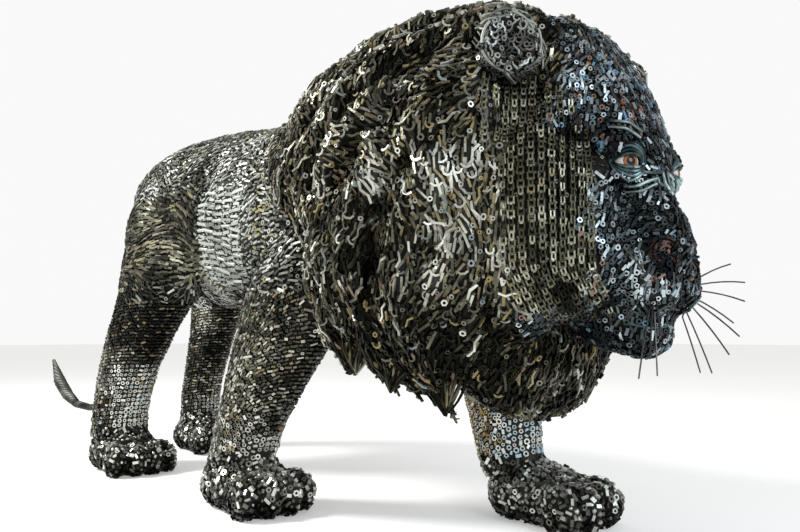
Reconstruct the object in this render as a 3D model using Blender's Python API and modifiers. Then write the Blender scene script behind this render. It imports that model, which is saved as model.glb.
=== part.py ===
"""A walking lion welded from scrap steel, life size, with set-in eyes and wire whiskers.

The lion faces +X, its left side is +Y, and its soles stand on Z = 0. All sizes are in metres.
The welded body is one solid: lofted limbs, a mane of locks and a modelled head are fused,
faceted and cut flat at the soles. The eyes and the whiskers are pieces of their own.
"""

import math
import random

import bmesh
import bpy
import numpy as np
from mathutils import Matrix, Vector
from mathutils.bvhtree import BVHTree

# Grain of the fused body
VOXEL = 0.009
SMOOTHING_ROUNDS = 3
BODY_TRIANGLES = 7500
RING_SIDES = 24
GAP = 0.0003

# Torso, from rump to chest: x, z of the middle, half width, half height
TORSO = (
    (-0.655, 0.850, 0.050, 0.055),
    (-0.630, 0.845, 0.108, 0.118),
    (-0.550, 0.825, 0.163, 0.174),
    (-0.400, 0.806, 0.200, 0.222),
    (-0.230, 0.793, 0.205, 0.242),
    (-0.040, 0.755, 0.215, 0.266),
    (0.160, 0.725, 0.235, 0.270),
    (0.380, 0.720, 0.250, 0.275),
    (0.600, 0.740, 0.235, 0.265),
    (0.780, 0.780, 0.190, 0.220),
)

# Mane, from withers to face: x and z of the top, x and z of the bottom, half width
MANE = (
    (0.265, 0.905, 0.440, 0.630, 0.150),
    (0.320, 0.950, 0.540, 0.510, 0.200),
    (0.410, 0.988, 0.640, 0.420, 0.262),
    (0.560, 1.040, 0.765, 0.350, 0.328),
    (0.745, 1.068, 0.880, 0.298, 0.355),
    (0.935, 1.067, 0.968, 0.244, 0.325),
    (1.052, 1.019, 1.022, 0.298, 0.245),
    (1.134, 0.922, 1.058, 0.420, 0.180),
    (1.166, 0.800, 1.125, 0.510, 0.120),
)
MANE_SQUARENESS = 2.2
MANE_KEEL = 0.12
MANE_ROWS = 10
MANE_LOCKS_AROUND = 18
LOCK_LENGTH = (0.20, 0.30)
LOCK_WIDTH = (0.030, 0.042)

# The hem: x, distance from the middle and z of the hanging tips on each side
HEM = (
    (0.700, 0.315, 0.480),
    (0.800, 0.320, 0.430),
    (0.900, 0.295, 0.400),
    (0.985, 0.215, 0.375),
    (0.595, 0.200, 0.395),
    (0.645, 0.200, 0.330),
    (0.715, 0.205, 0.350),
    (0.785, 0.205, 0.294),
    (0.835, 0.190, 0.296),
    (0.895, 0.150, 0.246),
)
HEM_LOCK_WIDTH = 0.042
HEM_LOCK_HEIGHT = 0.240

# Legs, from shoulder or hip to ankle: x, distance from the middle, z, half width, half depth
LEGS = {
    "left_fore": (
        (0.540, 0.130, 0.760, 0.085, 0.150),
        (0.610, 0.175, 0.560, 0.090, 0.140),
        (0.665, 0.200, 0.400, 0.080, 0.118),
        (0.700, 0.210, 0.270, 0.074, 0.104),
        (0.715, 0.212, 0.170, 0.068, 0.090),
        (0.735, 0.212, 0.090, 0.066, 0.085),
    ),
    "right_fore": (
        (0.500, 0.130, 0.760, 0.085, 0.165),
        (0.445, 0.180, 0.560, 0.098, 0.180),
        (0.382, 0.205, 0.410, 0.092, 0.155),
        (0.314, 0.212, 0.290, 0.084, 0.118),
        (0.252, 0.212, 0.190, 0.078, 0.098),
        (0.215, 0.212, 0.100, 0.076, 0.092),
    ),
    "left_hind": (
        (-0.460, 0.110, 0.800, 0.090, 0.180),
        (-0.520, 0.155, 0.660, 0.092, 0.165),
        (-0.590, 0.185, 0.520, 0.082, 0.125),
        (-0.668, 0.198, 0.370, 0.070, 0.095),
        (-0.722, 0.200, 0.220, 0.066, 0.082),
        (-0.732, 0.200, 0.100, 0.068, 0.084),
    ),
    "right_hind": (
        (-0.400, 0.110, 0.800, 0.095, 0.190),
        (-0.330, 0.155, 0.660, 0.100, 0.198),
        (-0.322, 0.180, 0.540, 0.095, 0.184),
        (-0.397, 0.190, 0.430, 0.088, 0.150),
        (-0.468, 0.198, 0.310, 0.082, 0.120),
        (-0.512, 0.200, 0.190, 0.080, 0.106),
        (-0.522, 0.200, 0.100, 0.082, 0.106),
    ),
}

# Paws: x of the middle, distance from the middle plane
PAWS = {
    "left_fore": (0.838, 0.212),
    "right_fore": (0.270, 0.212),
    "left_hind": (-0.672, 0.200),
    "right_hind": (-0.448, 0.200),
}
PAW_LENGTH = 0.310
PAW_WIDTH = 0.195
PAW_HEIGHT = 0.125
TOES = 4

# Tail: x, y, z and radius, from the rump to the pointed tip
TAIL = (
    (-0.630, 0.00, 0.860, 0.045),
    (-0.720, 0.00, 0.760, 0.030),
    (-0.765, -0.01, 0.560, 0.019),
    (-0.790, -0.03, 0.390, 0.016),
    (-0.830, -0.06, 0.240, 0.014),
    (-0.910, -0.09, 0.160, 0.013),
    (-1.010, -0.10, 0.148, 0.013),
    (-1.110, -0.11, 0.155, 0.015),
    (-1.190, -0.115, 0.185, 0.023),
    (-1.265, -0.12, 0.235, 0.025),
    (-1.345, -0.12, 0.322, 0.009),
)

# The face keeps finer facets than the rest of the body
FACE_MIDDLE = (1.20, 0.0, 0.58)
FACE_REACH = 0.22
FACE_WEIGHT = 0.97

EAR_CENTRE = (1.078, 0.216, 0.928)
EAR_TURN = (-15, -12, 38)

EYE_RADIUS = 0.023
EYE_CENTRE = (1.213, 0.075, 0.714)

# Whiskers fan out from the pads beside the nose
PAD_CENTRE = (1.240, 0.038, 0.500)
WHISKERS_EACH_SIDE = 8
WHISKER_RADIUS = 0.0015
WHISKER_LENGTH = 0.115
WHISKER_FAN = (24, -70)
WHISKER_STUB = 0.009
WHISKER_SAG = 0.012


def sign_of(side):
    """+1 on the left, -1 on the right."""
    return 1 if side.startswith("left") else -1


def catmull(rows, per_span):
    """Smooth rows that run through the given rows."""
    rows = np.array(rows, float)
    padded = np.vstack([2 * rows[0] - rows[1], rows, 2 * rows[-1] - rows[-2]])
    made = []
    for a, b, c, d in zip(padded, padded[1:], padded[2:], padded[3:]):
        for t in np.arange(per_span) / per_span:
            quadratic = (2 * a - 5 * b + 4 * c - d) * t**2
            cubic = (3 * b - a - 3 * c + d) * t**3
            made.append(0.5 * (2 * b + (c - a) * t + quadratic + cubic))
    made.append(rows[-1])
    return made


def loft(rings):
    """A closed mesh over rings of equal length, with a fan on each end."""
    mesh = bmesh.new()
    loops = [[mesh.verts.new(point) for point in ring] for ring in rings]
    for near, far in zip(loops, loops[1:]):
        for i, corner in enumerate(near):
            j = (i + 1) % len(near)
            mesh.faces.new((corner, near[j], far[j], far[i]))
    for ring in (loops[0], loops[-1]):
        middle = sum((v.co for v in ring), Vector()) / len(ring)
        tip = mesh.verts.new(middle)
        for i, corner in enumerate(ring):
            mesh.faces.new((corner, ring[(i + 1) % len(ring)], tip))
    bmesh.ops.recalc_face_normals(mesh, faces=mesh.faces)
    return mesh


def oval(centre, across, up, half_width, half_height, squareness=2.0):
    """One ring of a loft: a superellipse in the plane of across and up."""
    ring = []
    for i in range(RING_SIDES):
        angle = math.tau * i / RING_SIDES
        c, s = math.cos(angle), math.sin(angle)
        a = math.copysign(abs(c) ** (2 / squareness), c) * half_width
        b = math.copysign(abs(s) ** (2 / squareness), s) * half_height
        ring.append(Vector(centre) + Vector(across) * a + Vector(up) * b)
    return ring


class Clay:
    """Collects closed lumps that are fused into one solid afterwards."""

    def __init__(self, detail=3):
        self.mesh = bmesh.new()
        self.detail = detail

    def add(self, lump):
        data = bpy.data.meshes.new("lump")
        lump.to_mesh(data)
        lump.free()
        self.mesh.from_mesh(data)
        bpy.data.meshes.remove(data)

    def egg(self, centre, radii, turn=(0, 0, 0), mirrored=False):
        """An ellipsoid, turned by degrees about X, Y and Z, on both sides if mirrored."""
        for side in (1, -1) if mirrored else (1,):
            lump = bmesh.new()
            bmesh.ops.create_icosphere(lump, subdivisions=self.detail, radius=1.0)
            place = Matrix.Translation(centre)
            for axis, degrees in zip("XYZ", turn):
                place = place @ Matrix.Rotation(math.radians(degrees), 4, axis)
            place = place @ Matrix.Diagonal((*radii, 1.0))
            lump.transform(Matrix.Diagonal((1, side, 1, 1)) @ place)
            if side < 0:
                bmesh.ops.reverse_faces(lump, faces=lump.faces)
            self.add(lump)


def torso(clay):
    rings = []
    for x, z, half_width, half_height in catmull(TORSO, 4):
        rings.append(oval((x, 0, z), (0, 1, 0), (0, 0, 1), half_width, half_height, 2.15))
    clay.add(loft(rings))


def mane_rings():
    """Upright ovals that narrow towards the bottom by the keel's share."""
    rings = []
    for top_x, top_z, low_x, low_z, half_width in catmull(MANE, 4):
        top, low = Vector((top_x, 0, top_z)), Vector((low_x, 0, low_z))
        up = (top - low).normalized()
        half = (top - low).length / 2
        middle = (top + low) / 2
        ring = oval(middle, (0, 1, 0), up, half_width, half, MANE_SQUARENESS)
        for point in ring:
            below = max(0, (middle - point).dot(up) / half)
            point.y *= 1 - MANE_KEEL * below**2
        rings.append(ring)
    return rings


def haunches(clay):
    """Thigh muscles over the hips, and shoulder blades under the mane."""
    clay.egg((-0.400, 0.120, 0.710), (0.190, 0.105, 0.205), (0, -12, 0), mirrored=True)
    clay.egg((0.420, 0.150, 0.740), (0.170, 0.105, 0.200), (0, 10, 0), mirrored=True)


def legs(clay):
    for name, stations in LEGS.items():
        side = sign_of(name)
        rings = []
        for x, y, z, half_width, half_depth in catmull(stations, 4):
            rings.append(oval((x, side * y, z), (1, 0, 0), (0, 1, 0), half_depth, half_width))
        clay.add(loft(rings))


def paws(clay):
    for name, (x, y) in PAWS.items():
        middle = Vector((x, sign_of(name) * y, 0))
        heel = middle + Vector((-0.22 * PAW_LENGTH, 0, 0.42 * PAW_HEIGHT))
        instep = middle + Vector((-0.02 * PAW_LENGTH, 0, 0.44 * PAW_HEIGHT))
        clay.egg(heel, (0.30 * PAW_LENGTH, 0.47 * PAW_WIDTH, 0.56 * PAW_HEIGHT))
        clay.egg(instep, (0.34 * PAW_LENGTH, 0.49 * PAW_WIDTH, 0.60 * PAW_HEIGHT), (0, 12, 0))
        for i in range(TOES):
            spread = i / (TOES - 1) * 2 - 1
            reach = 0.31 - 0.07 * spread**2
            toe = middle + Vector((reach * PAW_LENGTH, spread * 0.39 * PAW_WIDTH, 0.36 * PAW_HEIGHT))
            radii = (0.20 * PAW_LENGTH, 0.16 * PAW_WIDTH, 0.46 * PAW_HEIGHT)
            clay.egg(toe, radii, (0, 14, spread * 12))


def tail(clay):
    rings = []
    rows = catmull(TAIL, 5)
    for i, (x, y, z, radius) in enumerate(rows):
        before, after = rows[max(i - 1, 0)], rows[min(i + 1, len(rows) - 1)]
        along = Vector(after[:3] - before[:3]).normalized()
        across = along.cross(Vector((0.1, 1, 0))).normalized()
        rings.append(oval((x, y, z), across, along.cross(across), radius, radius))
    clay.add(loft(rings))


def head(clay):
    clay.egg((1.00, 0, 0.81), (0.17, 0.20, 0.22), (0, -20, 0))
    # Forehead and the bridge of the nose
    bridge = (
        (1.034, 0.974, 0.150, 0.080),
        (1.129, 0.850, 0.125, 0.070),
        (1.187, 0.736, 0.092, 0.055),
        (1.212, 0.660, 0.050, 0.042),
        (1.239, 0.600, 0.052, 0.041),
        (1.256, 0.566, 0.055, 0.035),
    )
    rings = []
    for x, z, half_width, half_depth in catmull(bridge, 4):
        rings.append(oval((x, 0, z), (0, 1, 0), (0.85, 0, 0.53), half_width, half_depth, 2.6))
    clay.add(loft(rings))
    # Brows, cheekbones and the fur of the cheeks
    clay.egg((1.204, 0.070, 0.747), (0.038, 0.054, 0.021), (0, 34, -14), mirrored=True)
    clay.egg((1.154, 0.094, 0.700), (0.055, 0.052, 0.055), (0, 10, -25), mirrored=True)
    clay.egg((1.208, 0.075, 0.690), (0.026, 0.036, 0.012), (0, 0, -18), mirrored=True)
    clay.egg((1.148, 0.103, 0.652), (0.050, 0.050, 0.060), (0, 20, -30), mirrored=True)
    clay.egg((1.118, 0.100, 0.560), (0.100, 0.096, 0.125), (0, 10, -25), mirrored=True)
    clay.egg((1.060, 0.160, 0.600), (0.110, 0.110, 0.200), (0, 10, -25), mirrored=True)
    # Muzzle, whisker pads, nose and chin
    muzzle = (
        (1.080, 0.600, 0.150, 0.130),
        (1.170, 0.565, 0.115, 0.105),
        (1.240, 0.535, 0.085, 0.080),
        (1.275, 0.515, 0.060, 0.055),
    )
    rings = []
    for x, z, half_width, half_height in catmull(muzzle, 4):
        rings.append(oval((x, 0, z), (0, 1, 0), (0.25, 0, 0.97), half_width, half_height, 2.3))
    clay.add(loft(rings))
    clay.egg(PAD_CENTRE, (0.046, 0.044, 0.046), (0, 8, 8), mirrored=True)
    clay.egg((1.261, 0, 0.563), (0.024, 0.057, 0.025), (0, 20, 0))
    clay.egg((1.264, 0, 0.530), (0.014, 0.018, 0.030))
    clay.egg((1.150, 0, 0.448), (0.095, 0.085, 0.062), (0, 8, 0))
    clay.egg((1.196, 0, 0.418), (0.052, 0.058, 0.042), (0, -8, 0))
    # Rounded ears, half sunk in the crown
    clay.egg(EAR_CENTRE, (0.022, 0.054, 0.062), EAR_TURN, mirrored=True)


class Flow:
    """Walks locks of hair over the mane: back along its top, down its sides, free at its hem."""

    STEPS = 7
    SWEEP = 0.9
    LEAN = 0.25

    def __init__(self, surface):
        self.surface = surface

    def heading(self, normal):
        fall = Vector((-self.LEAN - self.SWEEP * max(0, normal.z), 0, -1.0))
        return (fall - normal * fall.dot(normal)).normalized()

    def lock(self, root, length, width, lift, sway, phase, drop=0.0):
        """A tapered, wavy lock lofted along the flow from its root, with a hanging tip."""
        point, normal, _, _ = self.surface.find_nearest(root)
        step = length / self.STEPS
        path = []
        for i in range(self.STEPS + 1):
            fraction = i / self.STEPS
            path.append((point + normal * lift * (0.3 + 0.9 * fraction), normal.copy(), fraction))
            along = self.heading(normal)
            wave = math.sin(phase + fraction * 1.6 * math.pi)
            ahead = point + (along + along.cross(normal) * sway * wave) * step
            place, found, _, _ = self.surface.find_nearest(ahead)
            if found.z > -0.45:
                point, normal = place, found
            elif drop > 0:
                point = point + Vector((-0.2, 0, -1)).normalized() * step
                drop -= step
            else:
                break
        rings = []
        last = len(path) - 1
        for i, (middle, normal, _) in enumerate(path):
            fraction = i / last
            along = (path[min(i + 1, last)][0] - path[max(i - 1, 0)][0]).normalized()
            across = along.cross(normal).normalized()
            swell = math.sin(math.pi * (0.22 + 0.74 * fraction)) ** 0.8
            half = max(width * swell, 0.006)
            rings.append(oval(middle, across, across.cross(along), half, 0.62 * half + 0.002))
        return loft(rings)


def mane(clay):
    """The mane's mass, and rows of locks laid over it from face to withers."""
    rings = mane_rings()
    clay.add(loft(rings))
    flow = Flow(BVHTree.FromBMesh(loft(rings)))
    dice = random.Random(7)
    for row in range(MANE_ROWS):
        position = 0.10 + 0.82 * row / (MANE_ROWS - 1)
        ring = rings[round(position * (len(rings) - 1))]
        for k in range(MANE_LOCKS_AROUND):
            angle = (k + 0.5 * (row % 2) + dice.uniform(-0.2, 0.2)) / MANE_LOCKS_AROUND
            root = ring[round(angle * RING_SIDES) % RING_SIDES]
            length = dice.uniform(*LOCK_LENGTH)
            width = dice.uniform(*LOCK_WIDTH)
            sway = dice.uniform(0.15, 0.45)
            phase = dice.uniform(0, math.tau)
            on_cheek = root.x > 1.06 and root.z < 0.88
            on_beard = root.x > 1.01 and root.z < 0.60
            if root.z > 0.42 and not (on_cheek or on_beard):
                clay.add(flow.lock(root, length, width, 0.020, sway, phase, drop=0.03))


def hem(clay, surface):
    """Longer locks that leave the mane's skin and end in free points on both sides."""
    for side in (-1, 1):
        for tip_x, tip_y, tip_z in HEM:
            tip = Vector((tip_x, side * tip_y, tip_z))
            above = tip + Vector((0.020, side * 0.100, HEM_LOCK_HEIGHT))
            top, outward, _, _ = surface.find_nearest(above)
            rings = []
            for share in np.linspace(0, 1, 7):
                bulge = outward * (0.034 * math.sin(math.pi * share) - 0.020 * (1 - share))
                half = HEM_LOCK_WIDTH * math.sin(math.pi * (0.25 + 0.70 * share)) ** 0.9
                half = max(half, 0.012)
                rings.append(oval(top.lerp(tip, share) + bulge, (1, 0, 0), (0, 1, 0), half, 0.6 * half))
            clay.add(loft(rings))


def hollows():
    """What is cut out of the fused body: nostrils, the line of the mouth, and eye sockets."""
    made = Clay(detail=2)
    made.egg((1.276, 0.031, 0.556), (0.019, 0.015, 0.012), (0, 20, -30), mirrored=True)
    made.egg((1.215, 0, 0.461), (0.062, 0.066, 0.005), (0, 6, 0))
    for side in (1, -1):
        socket = (EYE_CENTRE[0], side * EYE_CENTRE[1], EYE_CENTRE[2])
        made.egg(socket, (EYE_RADIUS + 1.5 * GAP,) * 3)
    cup = Vector(EAR_CENTRE) + Vector((0.016, 0.013, 0.003))
    made.egg(cup, (0.022, 0.038, 0.046), EAR_TURN, mirrored=True)
    return made


def keep_largest(mesh):
    """Drops every loose shell but the one that reaches furthest along X."""
    unseen = set(mesh.verts)
    shells = []
    while unseen:
        front = [unseen.pop()]
        shell = list(front)
        while front:
            vertex = front.pop()
            for edge in vertex.link_edges:
                other = edge.other_vert(vertex)
                if other in unseen:
                    unseen.remove(other)
                    front.append(other)
                    shell.append(other)
        shells.append(shell)
    spans = [max(v.co.x for v in shell) - min(v.co.x for v in shell) for shell in shells]
    widest = spans.index(max(spans))
    spare = [v for i, shell in enumerate(shells) if i != widest for v in shell]
    bmesh.ops.delete(mesh, geom=spare, context="VERTS")


def applied(source, name):
    """A new mesh of the source as its modifiers shape it."""
    graph = bpy.context.evaluated_depsgraph_get()
    mesh = bpy.data.meshes.new_from_object(source.evaluated_get(graph), depsgraph=graph)
    mesh.name = name
    return mesh


def new_object(name, mesh, collection):
    made = bpy.data.objects.new(name, mesh)
    collection.objects.link(made)
    return made


def new_collection(name):
    made = bpy.data.collections.new(name)
    bpy.context.scene.collection.children.link(made)
    return made


def new_material(name, colour, metallic, roughness):
    made = bpy.data.materials.new(name)
    made.use_nodes = True
    shader = made.node_tree.nodes["Principled BSDF"]
    shader.inputs["Base Color"].default_value = (*colour, 1)
    shader.inputs["Metallic"].default_value = metallic
    shader.inputs["Roughness"].default_value = roughness
    return made


def as_cutter(cutter):
    cutter.display_type = "WIRE"
    cutter.hide_render = True
    return cutter


def fused_mesh():
    """Every lump fused by a voxel remesh into one closed skin."""
    clay = Clay()
    torso(clay)
    haunches(clay)
    legs(clay)
    paws(clay)
    tail(clay)
    head(clay)
    mane(clay)
    hem(clay, BVHTree.FromBMesh(loft(mane_rings())))
    lumps = bpy.data.meshes.new("lumps")
    clay.mesh.to_mesh(lumps)
    draft = new_object("draft", lumps, bpy.context.scene.collection)
    fuse = draft.modifiers.new("fuse", "REMESH")
    fuse.mode = "VOXEL"
    fuse.voxel_size = VOXEL
    skin = applied(draft, "welded_body")
    bpy.data.objects.remove(draft, do_unlink=True)
    work = bmesh.new()
    work.from_mesh(skin)
    keep_largest(work)
    work.to_mesh(skin)
    work.free()
    return skin


def welded_body(collection, cutters):
    body = new_object("welded_body", fused_mesh(), collection)
    face = body.vertex_groups.new(name="coarse")
    for vertex in body.data.vertices:
        from_face = (vertex.co - Vector(FACE_MIDDLE)).length
        weight = min(1, max(FACE_WEIGHT, (from_face - FACE_REACH) / FACE_REACH))
        face.add([vertex.index], weight, "REPLACE")
    smooth = body.modifiers.new("smooth", "SMOOTH")
    smooth.factor = 0.5
    smooth.iterations = SMOOTHING_ROUNDS
    facets = body.modifiers.new("facets", "DECIMATE")
    facets.vertex_group = "coarse"
    facets.ratio = BODY_TRIANGLES / (2 * len(body.data.polygons))
    box = bmesh.new()
    bmesh.ops.create_cube(box, size=1)
    box.transform(Matrix.Translation((0, 0, -0.25)) @ Matrix.Diagonal((4, 2, 0.5, 1)))
    ground = bpy.data.meshes.new("ground")
    box.to_mesh(ground)
    carved = bpy.data.meshes.new("hollows")
    hollows().mesh.to_mesh(carved)
    for name, mesh in (("sole_cutter", ground), ("face_cutter", carved)):
        cut = body.modifiers.new(name, "BOOLEAN")
        cut.operation = "DIFFERENCE"
        cut.object = as_cutter(new_object(name, mesh, cutters))
    return body


def eyes(collection, material):
    for name, side in (("left_eye", 1), ("right_eye", -1)):
        ball = Clay(detail=2)
        ball.egg((EYE_CENTRE[0], side * EYE_CENTRE[1], EYE_CENTRE[2]), (EYE_RADIUS,) * 3)
        mesh = bpy.data.meshes.new(name)
        ball.mesh.to_mesh(mesh)
        mesh.shade_smooth()
        mesh.materials.append(material)
        new_object(name, mesh, collection)


def whiskers(body, collection, material):
    """Bent wires, each standing off its facet of the pad by the gap."""
    skin = bmesh.new()
    skin.from_mesh(applied(body, "skin"))
    tree = BVHTree.FromBMesh(skin)
    skin.free()
    for side_name, side in (("left", 1), ("right", -1)):
        centre = Vector((PAD_CENTRE[0], side * PAD_CENTRE[1], PAD_CENTRE[2]))
        for i in range(WHISKERS_EACH_SIDE):
            share = i / (WHISKERS_EACH_SIDE - 1)
            rise = math.radians(WHISKER_FAN[0] + (WHISKER_FAN[1] - WHISKER_FAN[0]) * share)
            outward = math.radians((78, 58, 66)[i % 3])
            aim = Vector((math.cos(outward), side * math.sin(outward), 0)) * math.cos(rise)
            aim.z = math.sin(rise)
            foot, normal, _, _ = tree.ray_cast(centre + aim * 0.2, -aim)
            points = [foot + normal * 2 * GAP, foot + normal * WHISKER_STUB]
            length = WHISKER_LENGTH * (1, 0.8, 0.9)[i % 3]
            for t in (0.25, 0.5, 0.75, 1.0):
                sag = Vector((0, 0, -WHISKER_SAG * t * t))
                points.append(points[1] + aim * length * t + sag)
            curve = bpy.data.curves.new(f"whisker_{side_name}_{i + 1}", "CURVE")
            curve.dimensions = "3D"
            curve.bevel_depth = WHISKER_RADIUS
            curve.bevel_resolution = 1
            curve.use_fill_caps = True
            spline = curve.splines.new("POLY")
            spline.points.add(len(points) - 1)
            for knot, point in zip(spline.points, points):
                knot.co = (*point, 1)
            wire = new_object(curve.name, curve, collection)
            curve.materials.append(material)


def centre_on_origin(collection, cutters):
    """Hangs every piece on one empty, so that the box's bottom centre is the origin."""
    bpy.context.view_layer.update()
    graph = bpy.context.evaluated_depsgraph_get()
    corners = []
    for piece in collection.objects:
        shown = piece.evaluated_get(graph)
        corners += [piece.matrix_world @ vertex.co for vertex in shown.to_mesh().vertices]
        shown.to_mesh_clear()
    low = Vector(map(min, zip(*corners)))
    high = Vector(map(max, zip(*corners)))
    stand = bpy.data.objects.new("lion_origin", None)
    bpy.context.scene.collection.objects.link(stand)
    for piece in [*collection.objects, *cutters.objects]:
        piece.parent = stand
    stand.location = (-(low.x + high.x) / 2, -(low.y + high.y) / 2, -low.z)


for old in list(bpy.data.objects):
    bpy.data.objects.remove(old, do_unlink=True)
lion = new_collection("steel_lion")
cutters = new_collection("cutters")
steel = new_material("welded_steel", (0.10, 0.10, 0.09), 0.85, 0.45)
amber = new_material("amber_eye", (0.75, 0.28, 0.06), 0.0, 0.15)
wire = new_material("wire", (0.35, 0.34, 0.32), 0.9, 0.35)
body = welded_body(lion, cutters)
body.data.materials.append(steel)
eyes(lion, amber)
whiskers(body, lion, wire)
centre_on_origin(lion, cutters)
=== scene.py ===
"""A life-size walking lion, welded together from nuts, chain, rod ends and cut strips of steel.

Lengths are in metres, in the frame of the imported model: the lion faces +X and stands on Z = 0.
"""

import math
import random

import bmesh
import bpy
import numpy as np
from mathutils import Matrix, Vector
from mathutils.bvhtree import BVHTree
from mathutils.kdtree import KDTree


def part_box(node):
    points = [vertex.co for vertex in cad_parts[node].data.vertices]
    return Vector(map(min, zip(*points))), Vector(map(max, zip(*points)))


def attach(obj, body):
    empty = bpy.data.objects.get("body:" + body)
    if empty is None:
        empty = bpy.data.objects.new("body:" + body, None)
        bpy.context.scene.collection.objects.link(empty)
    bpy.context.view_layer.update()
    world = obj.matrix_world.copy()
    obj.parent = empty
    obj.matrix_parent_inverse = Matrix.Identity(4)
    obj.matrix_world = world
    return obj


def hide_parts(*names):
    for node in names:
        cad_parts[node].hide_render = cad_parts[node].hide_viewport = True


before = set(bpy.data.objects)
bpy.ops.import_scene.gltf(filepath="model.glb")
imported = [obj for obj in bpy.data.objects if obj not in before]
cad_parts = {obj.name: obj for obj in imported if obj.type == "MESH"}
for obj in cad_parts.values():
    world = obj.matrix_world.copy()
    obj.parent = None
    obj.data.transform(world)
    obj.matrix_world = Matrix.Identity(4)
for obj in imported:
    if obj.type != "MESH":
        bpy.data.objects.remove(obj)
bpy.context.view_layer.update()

# ----------------------------------------------------------------------
# The hide. Thin sheet steel, cut into patches, bent over the frame and welded edge to edge.
# It is burnt dark by the welding and painted nearly black as the shade in the gaps, and every other
# piece of scrap is tacked onto it.
HIDE_GRAIN = 0.0062
HIDE_SET_BACK = 0.0045
HIDE_ROUNDS = 3
HIDE_KEPT = 0.13
FLOOR_GAP = 0.001
# How far a full ridge stands out of the broad form, and the rounds of averaging that leave it
RIDGE, BROAD_ROUNDS = 0.010, 60
LOCK_LIFT = 0.0055
LOCK_STEP = 0.010
# Rounds of averaging that make a lock broad, long and smooth
LOCK_BROAD, LOCK_LONG, LOCK_SMOOTH = 12, 18, 3
PAW_TOP = 0.135
TAIL_X = -0.70
# How bright plain steel is, from soot and painted shade up to polish at 1, and what painted light its
# ridges add
DARKEST = -0.6
PLAIN_SHINE, RIDGE_LIGHT = 0.225, 0.18
# What each part adds to that, in its own tone and in painted light and shade, and what its ridges add
# once more
PART_TONE_AND_LIGHT = {"coat": (0.04, 0), "flank": (0.38, 0), "hip": (-0.16, 0), "leg": (0.06, 0),
              "face": (0.05, 0), "paw": (0.12, 0.36), "mane": (-0.24, 0.40)}
EAR = Vector((1.095, 0.216, 0.928))
eye_low, eye_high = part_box("left_eye")
EYE = (eye_low + eye_high) / 2
EYE_RADIUS = (eye_high.x - eye_low.x) / 2
GAZE = Vector((0.86, 0.50, 0.02)).normalized()
# How far before an eyeball's middle the hide may stand, the sides of its socket from the line
# of the gaze, inner and outer, and how far ahead the socket ends
SOCKET_FRONT, SOCKET_SIDE, SOCKET_RIM, SOCKET_END = 0.002, 0.020, 0.034, 0.05
# Square on to the left cheek
CHEEK_ON = Vector((0.55, 0.83, 0))
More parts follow.
